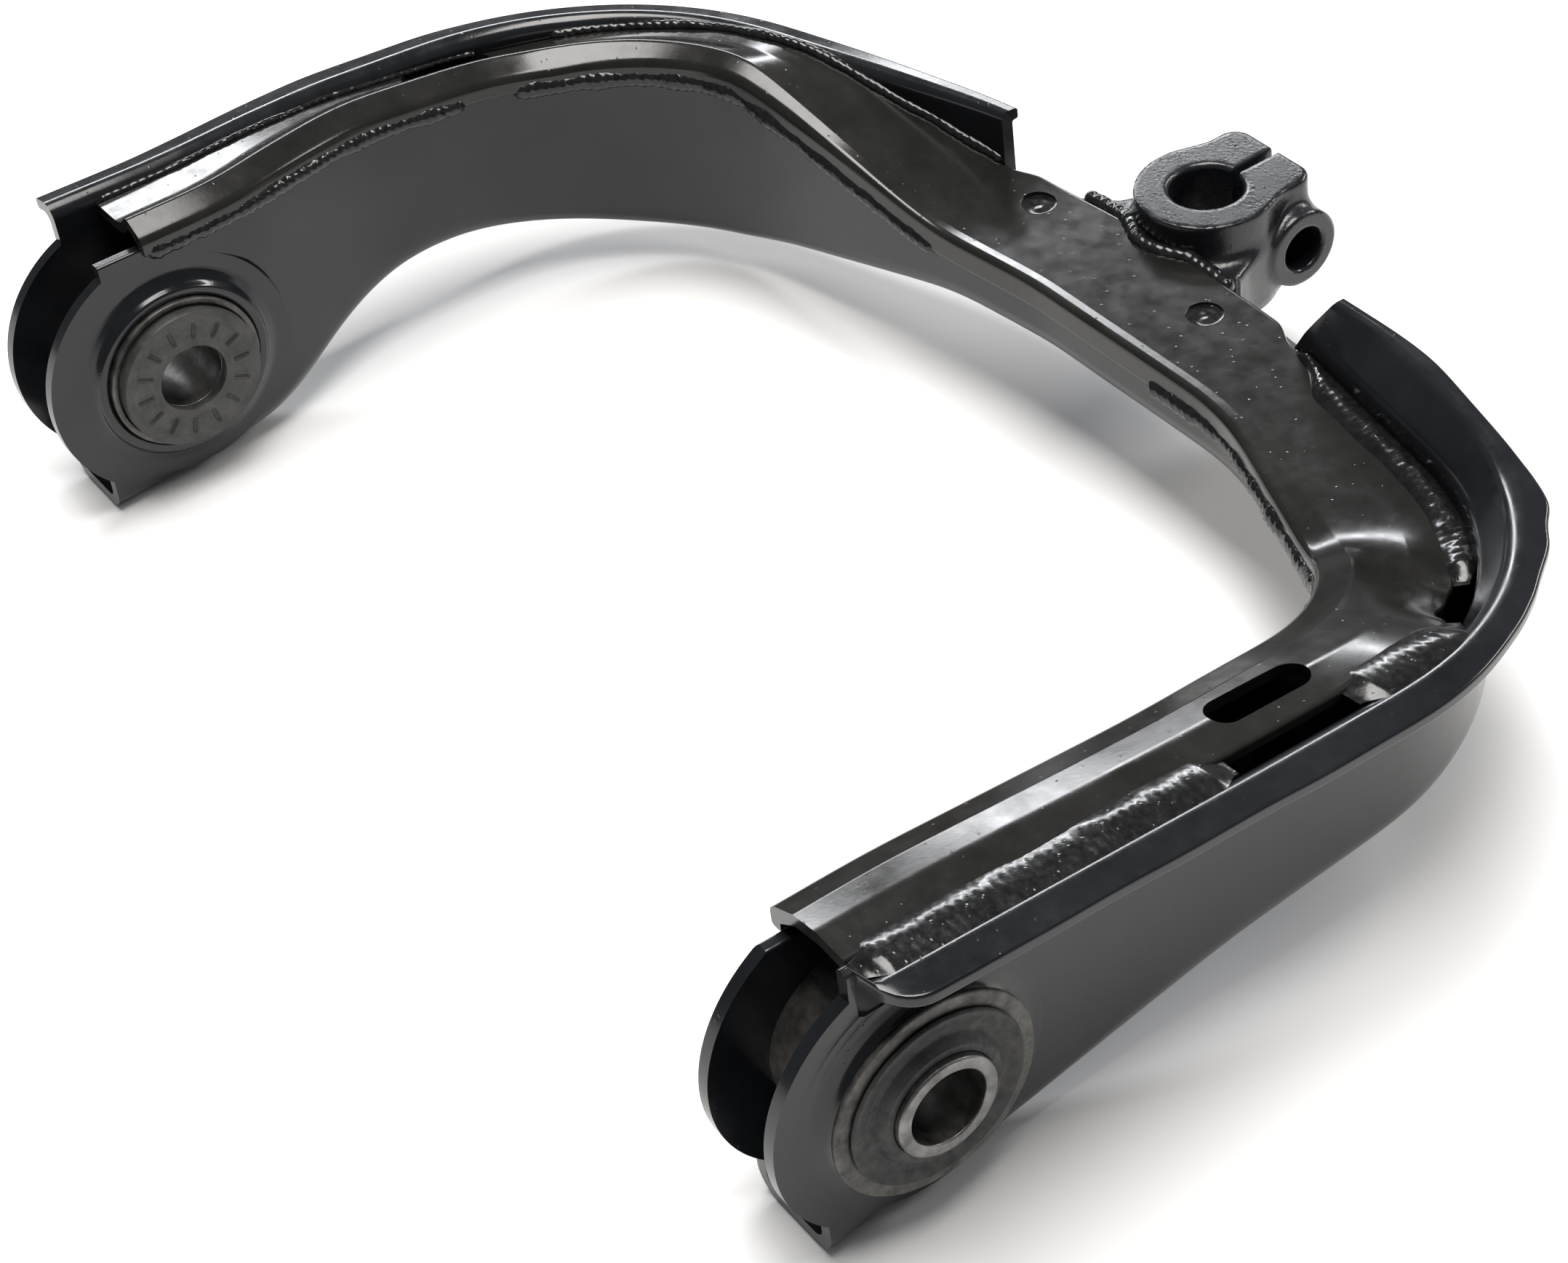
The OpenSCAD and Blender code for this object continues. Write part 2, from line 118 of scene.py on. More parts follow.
def rounded_line(points: list[tuple[float, float, float]]) -> Array:
    """Open line through corner points, each rounded by an arc of its own radius.

    Args:
        points: (x, y, corner radius) in order along the line.

    Returns:
        Array: points along the line, rows of (x, y).
    """
    corners = np.array([p[:2] for p in points])
    parts = [corners[:1]]
    share = np.linspace(0.0, 1.0, 13)[:, None]
    for before, here, after, radius in zip(
        corners[:-2], corners[1:-1], corners[2:], [p[2] for p in points[1:-1]]
    ):
        a = (before - here) / np.linalg.norm(before - here)
        b = (after - here) / np.linalg.norm(after - here)
        half = math.acos(float(np.clip(a @ b, -1, 1))) / 2
        turn = math.pi - 2 * half
        if turn < 0.01 or radius <= 0:
            parts.append(here[None])
            continue
        reach = radius / math.tan(half)
        centre = here + (a + b) / np.linalg.norm(a + b) * radius / math.sin(half)
        start, end = here + a * reach - centre, here + b * reach - centre
        arc = (start * np.sin((1 - share) * turn) + end * np.sin(share * turn)) / math.sin(turn)
        parts.append(centre + arc)
    parts.append(corners[-1:])
    return np.concatenate(parts)


def even_steps(line: Array, step: float) -> Array:
    """Points at even distances along a line.

    Args:
        line: rows of coordinates along the line.
        step: wanted distance between points, in mm.

    Returns:
        Array: rows at even distances, first and last point kept.
    """
    run = np.concatenate([[0.0], np.cumsum(np.linalg.norm(np.diff(line, axis=0), axis=1))])
    places = np.linspace(0.0, run[-1], max(int(run[-1] / step), 2) + 1)
    return np.stack([np.interp(places, run, line[:, k]) for k in range(line.shape[1])], axis=1)


def yoke_line(
    left: list[tuple[float, float, float]], right: list[tuple[float, float, float]], spread: float
) -> Array:
    """One smooth plan line from the left ear round the apex to the right ear.

    Args:
        left: corner points of the left half from the apex outwards, u given as positive.
        right: corner points of the right half from the apex outwards.
        spread: smoothing distance in mm, as in spread_along.

    Returns:
        Array: rows of (u, y), half a millimetre apart.
    """
    left_half = rounded_line(left)[::-1] * np.array([-1.0, 1.0])
    line = even_steps(np.concatenate([left_half, rounded_line(right)]), 0.5)
    return spread_along(line, spread, 0.5)


def unit(vectors: Array) -> Array:
    """Vectors scaled to length one along the last axis."""
    return vectors / np.linalg.norm(vectors, axis=-1, keepdims=True)


def circle(radius: float, steps: int, centre: tuple[float, float] = (0.0, 0.0)) -> Array:
    """Rows of two coordinates at even steps round a circle."""
    turn = np.linspace(0, 2 * math.pi, steps, endpoint=False)
    return np.array(centre) + radius * np.stack([np.cos(turn), np.sin(turn)], axis=1)


def outlines(corners: list[tuple[Array, Array]]) -> Array:
    """One outline per station, from corners given as columns of distance and height."""
    return np.stack([np.stack(c, axis=1) for c in corners], axis=1)


def step_up(x: Array, low: float, high: float) -> Array:
    """Smooth step from 0 at low to 1 at high, 3t^2 - 2t^3 between them."""
    t = np.clip((x - low) / (high - low), 0.0, 1.0)
    return t * t * (3 - 2 * t)


def wobble(places: Array, wave: float, seed: int) -> Array:
    """Gentle random wave along a line, between about -1 and 1.

    Random values a wavelength apart are joined by cosine-shaped steps.

    Args:
        places: distances along the line in mm.
        wave: distance between the random values, in mm.
        seed: fixes the random values.

    Returns:
        Array: the wave at each place.
    """
    knots = np.random.default_rng(seed).uniform(-1, 1, int(np.ptp(places) / wave) + 4)
    t = (places - places.min()) / wave
    low = np.floor(t).astype(int)
    blend = (1 - np.cos((t - low) * math.pi)) / 2
    return knots[low] * (1 - blend) + knots[low + 1] * blend


def fillet_loop(corners: Array, radii: Array, arc: int = 6, run: int = 6) -> Array:
    """Round every corner of many closed outlines at once.

    Each corner becomes an arc of its radius, cut down where its sides are too short, and the
    straight run to the next arc gets points that crowd towards both its ends.

    Args:
        corners: (stations, corners, 2) outline corners.
        radii: one radius per corner, or one row of them per station.
        arc: steps in each arc.
        run: points along each straight run.

    Returns:
        Array: (stations, points, 2) rounded outlines.
    """
    before = np.roll(corners, 1, axis=1) - corners
    after = np.roll(corners, -1, axis=1) - corners
    len_a = np.linalg.norm(before, axis=2, keepdims=True)
    len_b = np.linalg.norm(after, axis=2, keepdims=True)
    a, b = before / len_a, after / len_b
    half = np.arccos(np.clip((a * b).sum(2, keepdims=True), -1, 1)) / 2
    radius = np.broadcast_to(radii, corners.shape[:2])[..., None]
    reach = np.minimum(radius / np.tan(half), 0.48 * np.minimum(len_a, len_b))
    radius = reach * np.tan(half)
    middle = a + b
    middle = middle / np.maximum(np.linalg.norm(middle, axis=2, keepdims=True), 1e-9)
    centre = corners + middle * radius / np.maximum(np.sin(half), 1e-9)
    start, end = corners + a * reach, corners + b * reach
    turn = math.pi - 2 * half
    share = np.linspace(0.0, 1.0, arc + 1)[None, None, :, None]
    turn4 = turn[:, :, None]
    bend = np.sin(np.maximum(turn4, 1e-6))
    arcs = centre[:, :, None] + (
        (start - centre)[:, :, None] * np.sin((1 - share) * turn4)
        + (end - centre)[:, :, None] * np.sin(share * turn4)
    ) / bend
    flat = start[:, :, None] * (1 - share) + end[:, :, None] * share
    arcs = np.where(turn4 < 0.02, flat, arcs)
    places = ((1 - np.cos(np.pi * np.arange(1, run + 1) / (run + 1))) / 2)[None, None, :, None]
    runs = end[:, :, None] * (1 - places) + np.roll(start, -1, axis=1)[:, :, None] * places
    both = np.concatenate([arcs, runs], axis=2)
    return both.reshape(len(corners), -1, 2)


# ---------------------------------------------------------------- meshes


def make_piece(
    name: str, points: Array, faces: list[tuple[int, ...]], sharp_deg: float = 32.0
) -> bpy.types.Object:
    """Make a closed piece from points in millimetres, with its faces outward.

    Args:
        name: the object's name.
        points: rows of (x, y, z) in mm.
        faces: corner numbers of each face.
        sharp_deg: edges that turn by more than this stay sharp.

    Returns:
        bpy.types.Object: the new object, at the origin.
    """
    mesh = bpy.data.meshes.new(name)
    mesh.from_pydata((np.asarray(points) * MM).tolist(), [], faces)
    mesh.update()
    if enclosed_volume(mesh) < 0:
        mesh.flip_normals()
    piece = bpy.data.objects.new(name, mesh)
    bpy.context.scene.collection.objects.link(piece)
    smooth(piece, sharp_deg)
    return piece


def enclosed_volume(mesh: bpy.types.Mesh) -> float:
    """Signed volume inside a closed mesh: a sixth of the sum of its triangles' triple products.

    Args:
        mesh: the closed mesh.

    Returns:
        float: its volume, negative if its faces point inward.
    """
    mesh.calc_loop_triangles()
    corners = np.empty(len(mesh.loop_triangles) * 3, dtype=np.int32)
    mesh.loop_triangles.foreach_get("vertices", corners)
    places = np.empty(len(mesh.vertices) * 3)
    mesh.vertices.foreach_get("co", places)
    tri = places.reshape(-1, 3)[corners].reshape(-1, 3, 3)
    return float(np.einsum("ij,ij->i", tri[:, 0], np.cross(tri[:, 1], tri[:, 2])).sum() / 6)


def smooth(piece: bpy.types.Object, sharp_deg: float) -> None:
    """Shade a piece smooth, keeping sharper edges crisp.

    Args:
        piece: the piece.
        sharp_deg: edges that turn by more than this stay sharp.
    """
    mesh = piece.data
    mesh.polygons.foreach_set("use_smooth", np.ones(len(mesh.polygons), dtype=bool))
    mesh.set_sharp_from_angle(angle=math.radians(sharp_deg))
    mesh.update()


def grid_faces(rows: int, columns: int, closed_rows: bool, first: int = 0) -> list[tuple[int, ...]]:
    """Quads of a grid whose columns close on themselves.

    Args:
        rows: number of rows of points.
        columns: points in each row.
        closed_rows: whether the last row joins the first; if not, both ends get a cap.
        first: number of the grid's first point.

    Returns:
        list[tuple[int, ...]]: corner numbers of each face.
    """
    row = np.arange(rows if closed_rows else rows - 1)[:, None]
    col = np.arange(columns)[None, :]
    ahead, beside = (row + 1) % rows, (col + 1) % columns
    quads = np.stack(
        [row * columns + col, row * columns + beside, ahead * columns + beside,
         ahead * columns + col], axis=-1
    ).reshape(-1, 4) + first
    faces = [tuple(q) for q in quads.tolist()]
    if not closed_rows:
        faces.append(tuple(range(first + columns - 1, first - 1, -1)))
        last = first + (rows - 1) * columns
        faces.append(tuple(range(last, last + columns)))
    return faces


def turned_shell(profile: Array, start_x: float, way: float, steps: int = 128) -> Array:
    """Points of a closed profile turned about the pivot axis.

    The point (r, h) at angle t lies at x = start + way h, y = r sin t, z = r cos t.

    Args:
        profile: (points, 2) rows of radius and distance along the axis.
        start_x: where distance zero lies on X.
        way: 1 or -1, the direction of distance along X.
        steps: points round the axis.

    Returns:
        Array: (steps * points, 3) rows, one profile after another.
    """
    angle = np.linspace(0, 2 * math.pi, steps, endpoint=False)[:, None]
    r, h = profile[None, :, 0], profile[None, :, 1]
    x = start_x + way * h + 0 * angle
    return np.stack([x, r * np.sin(angle), r * np.cos(angle)], axis=-1).reshape(-1, 3)


def rounded_profile(corners: list[tuple[float, float, float]], arc: int = 6, run: int = 2) -> Array:
    """Closed profile from (r, h, corner radius) corners, as in fillet_loop."""
    table = np.array(corners, dtype=float)
    return fillet_loop(table[None, :, :2], table[:, 2], arc, run)[0]


def prism(name: str, outline: Array, axis: int, low: float, high: float) -> bpy.types.Object:
    """Straight solid of an outline, used to cut other pieces.

    Args:
        name: the object's name.
        outline: (points, 2) rows on the two axes left, in X, Y, Z order.
        axis: 0, 1 or 2, the axis it runs along.
        low: where it starts on that axis, in mm.
        high: where it ends.

    Returns:
        bpy.types.Object: the solid.
    """
    outline = np.asarray(outline, dtype=float)
    ends = [np.insert(outline, axis, value, axis=1) for value in (low, high)]
    return make_piece(name, np.concatenate(ends), grid_faces(2, len(outline), False))


def apply_cut(piece: bpy.types.Object, tool: bpy.types.Object, cut: Cut) -> None:
    """Cut a piece with a tool solid and throw the tool away.

    Args:
        piece: the piece, changed in place.
        tool: the cutting solid.
        cut: whether the tool's inside is cut away or kept.
    """
    modifier = piece.modifiers.new("cut", "BOOLEAN")
    modifier.operation = cut.value
    modifier.object = tool
    modifier.solver = "MANIFOLD"
    bpy.context.view_layer.update()
    graph = bpy.context.evaluated_depsgraph_get()
    result = bpy.data.meshes.new_from_object(piece.evaluated_get(graph))
    if not len(result.polygons):
        raise RuntimeError(f"the cut of {piece.name} with {tool.name} left nothing")
    piece.modifiers.clear()
    piece.data = result
    bpy.data.objects.remove(tool, do_unlink=True)


def capsule(centre: tuple[float, float], half_length: float, radius: float, turn: float) -> Array:
    """Outline of a slot with round ends.

    Args:
        centre: its middle.
        half_length: from the middle to the centre of each round end.
        radius: half the slot's width.
        turn: angle of its length from the first axis, in degrees.

    Returns:
        Array: (points, 2) outline.
    """
    angle = np.linspace(-math.pi / 2, math.pi / 2, 17)
    end = np.stack([half_length + radius * np.cos(angle), radius * np.sin(angle)], axis=1)
    outline = np.concatenate([end, -end])
    c, s = math.cos(math.radians(turn)), math.sin(math.radians(turn))
    return outline @ np.array([[c, s], [-s, c]]) + np.array(centre)


def surface_net(field_values: Array, origin: Array, step: float) -> tuple[Array, list]:
    """Smooth closed mesh where a field on a regular grid crosses zero.

    One point stands in each cell whose corners differ in sign, at the mean of the crossings
    on the cell's edges, and each grid edge that crosses zero gives a quad of the four cells
    round it.

    Args:
        field_values: values on the grid, negative inside.
        origin: place of the first grid point, in mm.
        step: grid spacing in mm.

    Returns:
        tuple[Array, list]: points in mm and quads.
    """
    inside = field_values < 0
    cells = tuple(n - 1 for n in field_values.shape)
    total = np.zeros(cells + (3,))
    count = np.zeros(cells)
    corner = [(i, j, k) for i in (0, 1) for j in (0, 1) for k in (0, 1)]

    def at(values: Array, c: tuple[int, int, int]) -> Array:
        """The grid's values at one corner of every cell."""
        return values[c[0]:c[0] + cells[0], c[1]:c[1] + cells[1], c[2]:c[2] + cells[2]]

    for a in corner:
        for axis in range(3):
            if a[axis]:
                continue
            b = tuple(v + (n == axis) for n, v in enumerate(a))
            fa, fb = at(field_values, a), at(field_values, b)
            crosses = at(inside, a) != at(inside, b)
            share = np.where(crosses, fa / np.where(crosses, fa - fb, 1.0), 0.0)
            for n in range(3):
                total[..., n] += crosses * (a[n] + (share if n == axis else 0.0))
            count += crosses
    live = count > 0
    number = np.full(cells, -1)
    number[live] = np.arange(live.sum())
    base = np.argwhere(live)
    points = origin + step * (base + total[live] / count[live][:, None])
    quads: list[tuple[int, ...]] = []
    for axis in range(3):
        low = [slice(1, -1)] * 3
        low[axis] = slice(0, -1)
        high = [slice(1, -1)] * 3
        high[axis] = slice(1, None)
        first, second = inside[tuple(low)], inside[tuple(high)]
        p, q = [n for n in range(3) if n != axis]
        for found, flip in ((first & ~second, False), (~first & second, True)):
            cell = np.argwhere(found)
            cell[:, p] += 1
            cell[:, q] += 1
            around = []
            for dp, dq in ((1, 1), (0, 1), (0, 0), (1, 0)):
                shifted = cell.copy()
                shifted[:, p] -= dp
                shifted[:, q] -= dq
                around.append(number[shifted[:, 0], shifted[:, 1], shifted[:, 2]])
            rows = np.stack(around, axis=1)
            if flip != (axis == 1):
                rows = rows[:, ::-1]
            quads += [tuple(r) for r in rows.tolist()]
    return points, quads


# ---------------------------------------------------------------- finishes


class Nodes:
    """Short hand for building one material's node tree."""

    def __init__(self, name: str) -> None:
        """Start an empty material with a surface shader.

        Args:
            name: the material's name.
        """
        self.material = bpy.data.materials.new(name)
        self.material.use_nodes = True
        self.tree = self.material.node_tree
        self.tree.nodes.clear()
        self.out = self.tree.nodes.new("ShaderNodeOutputMaterial")
        self.shader = self.tree.nodes.new("ShaderNodeBsdfPrincipled")
        self.tree.links.new(self.shader.outputs[0], self.out.inputs[0])
        self.place = self.tree.nodes.new("ShaderNodeTexCoord").outputs["Object"]

    def noise(self, scale: float, detail: float = 4.0, rough: float = 0.5) -> bpy.types.NodeSocket:
        """Noise over the piece's own coordinates.

        Args:
            scale: cells per metre.
            detail: layers of finer noise.
            rough: strength of the finer layers.

        Returns:
            bpy.types.NodeSocket: the noise, 0 to 1.
        """
        node = self.tree.nodes.new("ShaderNodeTexNoise")
        node.inputs["Scale"].default_value = scale
        node.inputs["Detail"].default_value = detail
        node.inputs["Roughness"].default_value = rough
        self.tree.links.new(self.place, node.inputs["Vector"])
        return node.outputs["Fac"]

    def specks(self, scale: float) -> bpy.types.NodeSocket:
        """Distance to scattered points over the piece.

        Args:
            scale: points per metre.

        Returns:
            bpy.types.NodeSocket: the distance, in cells.
        """
        node = self.tree.nodes.new("ShaderNodeTexVoronoi")
        node.inputs["Scale"].default_value = scale
        self.tree.links.new(self.place, node.inputs["Vector"])
        return node.outputs["Distance"]

    def ramp(
        self, value: bpy.types.NodeSocket, low: float, high: float, to_low: float, to_high: float
    ) -> bpy.types.NodeSocket:
        """Map a value from one range to another, held at both ends.

        Args:
            value: the value.
            low: start of its range.
            high: end of its range.
            to_low: result at the start.
            to_high: result at the end.

        Returns:
            bpy.types.NodeSocket: the mapped value.
        """
        node = self.tree.nodes.new("ShaderNodeMapRange")
        self.tree.links.new(value, node.inputs["Value"])
        for key, number in zip(
            ("From Min", "From Max", "To Min", "To Max"), (low, high, to_low, to_high)
        ):
            node.inputs[key].default_value = number
        return node.outputs["Result"]

    def mix(
        self, share: bpy.types.NodeSocket, low: tuple[float, ...], high: tuple[float, ...]
    ) -> bpy.types.NodeSocket:
        """Mix two colours.

        Args:
            share: a value between 0 and 1.
            low: the colour at 0.
            high: the colour at 1.

        Returns:
            bpy.types.NodeSocket: the mixed colour.
        """
        node = self.tree.nodes.new("ShaderNodeMix")
        node.data_type = "RGBA"
        self.tree.links.new(share, node.inputs["Factor"])
        node.inputs["A"].default_value = (*low, 1.0)
        node.inputs["B"].default_value = (*high, 1.0)
        return node.outputs["Result"]

    def bump(
        self, height: bpy.types.NodeSocket, depth: float, under: bpy.types.NodeSocket | None = None
    ) -> bpy.types.NodeSocket:
        """Bump the surface by a height.

        Args:
            height: the height, 0 to 1.
            depth: its full depth, in metres.
            under: an earlier bump that this one lies over.

        Returns:
            bpy.types.NodeSocket: the bumped normal.
        """
        node = self.tree.nodes.new("ShaderNodeBump")
        node.inputs["Strength"].default_value = 1.0
        node.inputs["Distance"].default_value = depth
        self.tree.links.new(height, node.inputs["Height"])
        if under is not None:
            self.tree.links.new(under, node.inputs["Normal"])
        return node.outputs["Normal"]

    def set(self, **values: float) -> None:
        """Set plain numbers on the shader, names with underscores for spaces."""
        for key, number in values.items():
            self.shader.inputs[key.replace("_", " ")].default_value = number

    def join(self, socket: bpy.types.NodeSocket, key: str) -> None:
        """Link a value to one of the shader's inputs."""
        self.tree.links.new(socket, self.shader.inputs[key])


@dataclass(frozen=True)
class BlackCoat:
    """Glossy black electrocoat over pressed sheet or forging.

    Attributes:
        name: the material's name.
        dark: colour in the thin places.
        light: colour in the dusty places.
        gloss: lowest roughness.
        haze: highest roughness.
        peel: depth of the fine ripple in the coat, in metres.
        ripple: depth of the slow ripple of the metal under it, in metres.
    """

    name: str
    dark: tuple[float, float, float] = (0.005, 0.0056, 0.0068)
    light: tuple[float, float, float] = (0.0105, 0.012, 0.0148)
    gloss: float = 0.13
    haze: float = 0.24
    peel: float = 0.000008
    ripple: float = 0.00006

    def build(self) -> bpy.types.Material:
        """Make the material.

        Returns:
            bpy.types.Material: the finish.
        """
        n = Nodes(self.name)
        n.join(n.mix(n.ramp(n.noise(45, 5, 0.6), 0.35, 0.7, 0, 1), self.dark, self.light),
               "Base Color")
        n.join(n.ramp(n.noise(160, 6, 0.65), 0.3, 0.72, self.gloss, self.haze), "Roughness")
        slow = n.bump(n.noise(38, 2, 0.5), self.ripple)
        fine = n.bump(n.noise(1100, 3, 0.6), self.peel, slow)
        dust = n.bump(n.ramp(n.specks(330), 0.05, 0.12, 1, 0), 0.00003, fine)
        n.join(dust, "Normal")
        n.set(IOR=1.5)
        return n.material


@dataclass(frozen=True)
class WeldCoat:
    """Black coat over a rippled, spattered weld bead."""

    name: str = "coated_weld"

    def build(self) -> bpy.types.Material:
        """Make the material.

        Returns:
            bpy.types.Material: the finish.
        """
        n = Nodes(self.name)
        n.join(n.mix(n.ramp(n.noise(500, 4, 0.7), 0.4, 0.62, 0, 1), (0.004, 0.0042, 0.0045),
                     (0.011, 0.0108, 0.0105)), "Base Color")
        n.join(n.ramp(n.noise(700, 4, 0.6), 0.3, 0.7, 0.12, 0.26), "Roughness")
        rough = n.bump(n.noise(240, 3, 0.5), 0.00012)
        n.join(n.bump(n.ramp(n.specks(420), 0.05, 0.2, 1, 0), 0.00006, rough), "Normal")
        n.set(IOR=1.5)
        return n.material


@dataclass(frozen=True)
class BareSteel:
    """Steel with a turned, phosphated or dull surface.

    Attributes:
        name: the material's name.
        dark: colour of the stained places.
        light: colour of the clean places.
        gloss: lowest roughness.
        haze: highest roughness.
        metal: how metallic it looks, 0 to 1.
        rings: depth of the turning marks round the pivot axis, in metres.
    """

    name: str
    dark: tuple[float, float, float]
    light: tuple[float, float, float]
    gloss: float = 0.3
    haze: float = 0.55
    metal: float = 1.0
    rings: float = 0.00001

    def build(self) -> bpy.types.Material:
        """Make the material.

        Returns:
            bpy.types.Material: the finish.
        """
        n = Nodes(self.name)
        patch = n.ramp(n.noise(220, 6, 0.65), 0.36, 0.66, 0, 1)
        n.join(n.mix(patch, self.dark, self.light), "Base Color")
        n.join(n.ramp(n.noise(420, 4, 0.6), 0.3, 0.7, self.gloss, self.haze), "Roughness")
        marks = n.tree.nodes.new("ShaderNodeTexWave")
        marks.wave_type = "RINGS"
        marks.rings_direction = "X"
        marks.inputs["Scale"].default_value = 900.0
        marks.inputs["Distortion"].default_value = 1.5
        n.tree.links.new(n.place, marks.inputs["Vector"])
        turned = n.bump(marks.outputs["Fac"], self.rings)
        n.join(n.bump(n.noise(1500, 4, 0.6), 0.00002, turned), "Normal")
        n.set(Metallic=self.metal)
        return n.material


@dataclass(frozen=True)
class BushRubber:
    """Dusty black moulded rubber."""

    name: str = "bush_rubber"

    def build(self) -> bpy.types.Material:
        """Make the material.

        Returns:
            bpy.types.Material: the finish.
        """
        n = Nodes(self.name)
        n.join(n.mix(n.ramp(n.noise(260, 6, 0.6), 0.38, 0.66, 0, 1), (0.018, 0.018, 0.019),
                     (0.04, 0.039, 0.037)), "Base Color")
        n.join(n.ramp(n.noise(500, 4, 0.6), 0.3, 0.7, 0.45, 0.75), "Roughness")
        n.join(n.bump(n.noise(1400, 5, 0.65), 0.00006), "Normal")
        n.set(IOR=1.5)
        return n.material


@dataclass(frozen=True)
class StudioFloor:
    """Pale, very slightly mottled floor."""

    name: str = "studio_floor"

    def build(self) -> bpy.types.Material:
        """Make the material.

        Returns:
            bpy.types.Material: the finish.
        """
        n = Nodes(self.name)
        n.join(n.mix(n.noise(9, 3, 0.5), (0.86, 0.86, 0.86), (0.9, 0.9, 0.9)), "Base Color")
        n.join(n.ramp(n.noise(40, 3, 0.5), 0.3, 0.7, 0.7, 0.85), "Roughness")
        return n.material


def finish_piece(
    piece: bpy.types.Object, material: bpy.types.Material, body: str, slot: str, *nodes: str
) -> None:
    """Dress a piece, make it ride on its body and stand in for its CAD nodes.

    Args:
        piece: the finished piece.
        material: its finish.
        body: the body it moves with.
        slot: the record's material slot it belongs to; not used.
        *nodes: the CAD nodes it replaces.
    """
    piece.data.materials.clear()
    piece.data.materials.append(material)
    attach(piece, body)
    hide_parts(*nodes)
    mesh = piece.data
    mesh.calc_loop_triangles()
    LOG.info("%s: %d points, %d triangles, on %s for %s", piece.name, len(mesh.vertices),
             len(mesh.loop_triangles), body, ", ".join(nodes))


# ---------------------------------------------------------------- the arm's lines


@dataclass
class YokeLines:
    """Plan lines and heights that both pressings follow.

    Attributes:
        ear_u: inner wall at the ears, from the centre plane.
        width: outside width of the channel at the ears.
        sheet: thickness of both sheets.
        tilt: sideways slope of the plate on the right leg, in degrees.
    """

    ear_u: float = 135.5
    width: float = 24.0
    sheet: float = 3.0
    tilt: float = 13.0
    inner: Array = field(init=False)
    outer: Array = field(init=False)
    rim: Array = field(init=False)

    def __post_init__(self) -> None:
        """Work out the three plan lines."""
        self.inner = yoke_line(
            [(6, 161, 0), (40, 157, 120), (147, 141, 58), (146.5, 61, 60), (135.5, 22, 60),
             (135.5, -44, 0)],
            [(6, 161, 0), (60, 161.5, 60), (132.5, 135, 46), (135.5, 73, 60), (135.5, -44, 0)], 5)
        self.outer = yoke_line(
            [(6, 190, 0), (46, 186, 150), (163.5, 146, 73), (164, 61, 60), (159.5, 20, 60),
             (159.5, -44, 0)],
            [(6, 190, 0), (50, 189.5, 150), (159.5, 169, 66), (159.5, -44, 0)], 5)
        self.rim = yoke_line(
            [(6, 190, 0), (46, 187.5, 150), (171, 153, 88), (172, 61, 60), (165.5, 8, 60),
             (165.5, -44, 0)],
            [(6, 190, 0), (55, 191.5, 60), (90, 191.5, 60), (147.5, 174.5, 30),
             (161.5, 152, 60), (172.5, 125, 60), (172.5, -44, 0)], 3)

    @staticmethod
    def height(y: Array, points: list[tuple[float, float, float]]) -> Array:
        """Height at each y along a rounded line of (y, z, corner radius) points."""
        line = rounded_line(points)
        return np.interp(y, line[:, 0], line[:, 1])

    def web(self, u: Array, y: Array) -> Array:
        """Underside of the web at plan places.

        Args:
            u: sideways places from the centre plane.
            y: places along Y.

        Returns:
            Array: heights in mm.
        """
        left = self.height(y, [(-44, -34.3, 0), (24, -29.2, 25), (45.2, -18, 30), (76.2, -10, 60),
                               (135, -24.5, 40), (400, -24.5, 0)])
        rise = self.height(u, [(-400, -66, 0), (-124.5, -66, 0), (-111.5, -24.5, 10),
                               (-51, -11.9, 30), (-38, -9.5, 20), (400, -9.5, 0)])
        right = self.height(y, [(-44, -34.5, 0), (9, -30, 60), (75, -18, 90), (131, -13.5, 60),
                                (160, -9.5, 30), (400, -9.5, 0)])
        return np.where(u < 0, np.maximum(left, rise), right)

    def plate(self, u: Array, y: Array) -> Array:
        """Top of the plate at plan places.

        Args:
            u: sideways places from the centre plane.
            y: places along Y.

        Returns:
            Array: heights in mm.
        """
        leg = self.height(y, [(-44, 41.3, 0), (35, 40, 90), (66, 37, 90), (113, 30.8, 60),
                              (400, 30.8, 0)])
        drop = self.height(u, [(-400, 200, 0), (-141.5, 70, 0), (-111.5, 32.3, 30),
                               (-85.5, 25.3, 60), (-54, 16, 40), (-40, 12, 30), (400, 12, 0)])
        right = self.height(y, [(-44, 41.3, 0), (10, 40.4, 90), (61, 35.8, 120), (101, 32.8, 60),
                                (139, 27.5, 25), (160, 12, 15), (400, 12, 0)])
        slope = math.tan(math.radians(self.tilt))
        tilted = np.maximum(right - slope * (self.ear_u + self.width - u), 12.0)
        return np.where(u < 0, np.minimum(leg, drop), tilted)

    def flange(self, u: Array, y: Array) -> Array:
        """Top of the flange at plan places.

        Args:
            u: sideways places from the centre plane.
            y: places along Y.

        Returns:
            Array: heights in mm.
        """
        left = self.height(y, [(-44, 42.8, 0), (42, 39.5, 120), (103, 34.5, 120), (132, 31.8, 120),
                               (190, 28, 0), (400, 28, 0)])
        right = self.height(y, [(-44, 40.2, 0), (38, 35, 120), (83, 32, 120), (156, 28.6, 120),
                                (190, 28, 0), (400, 28, 0)])
        return np.where(u < 0, left, right)


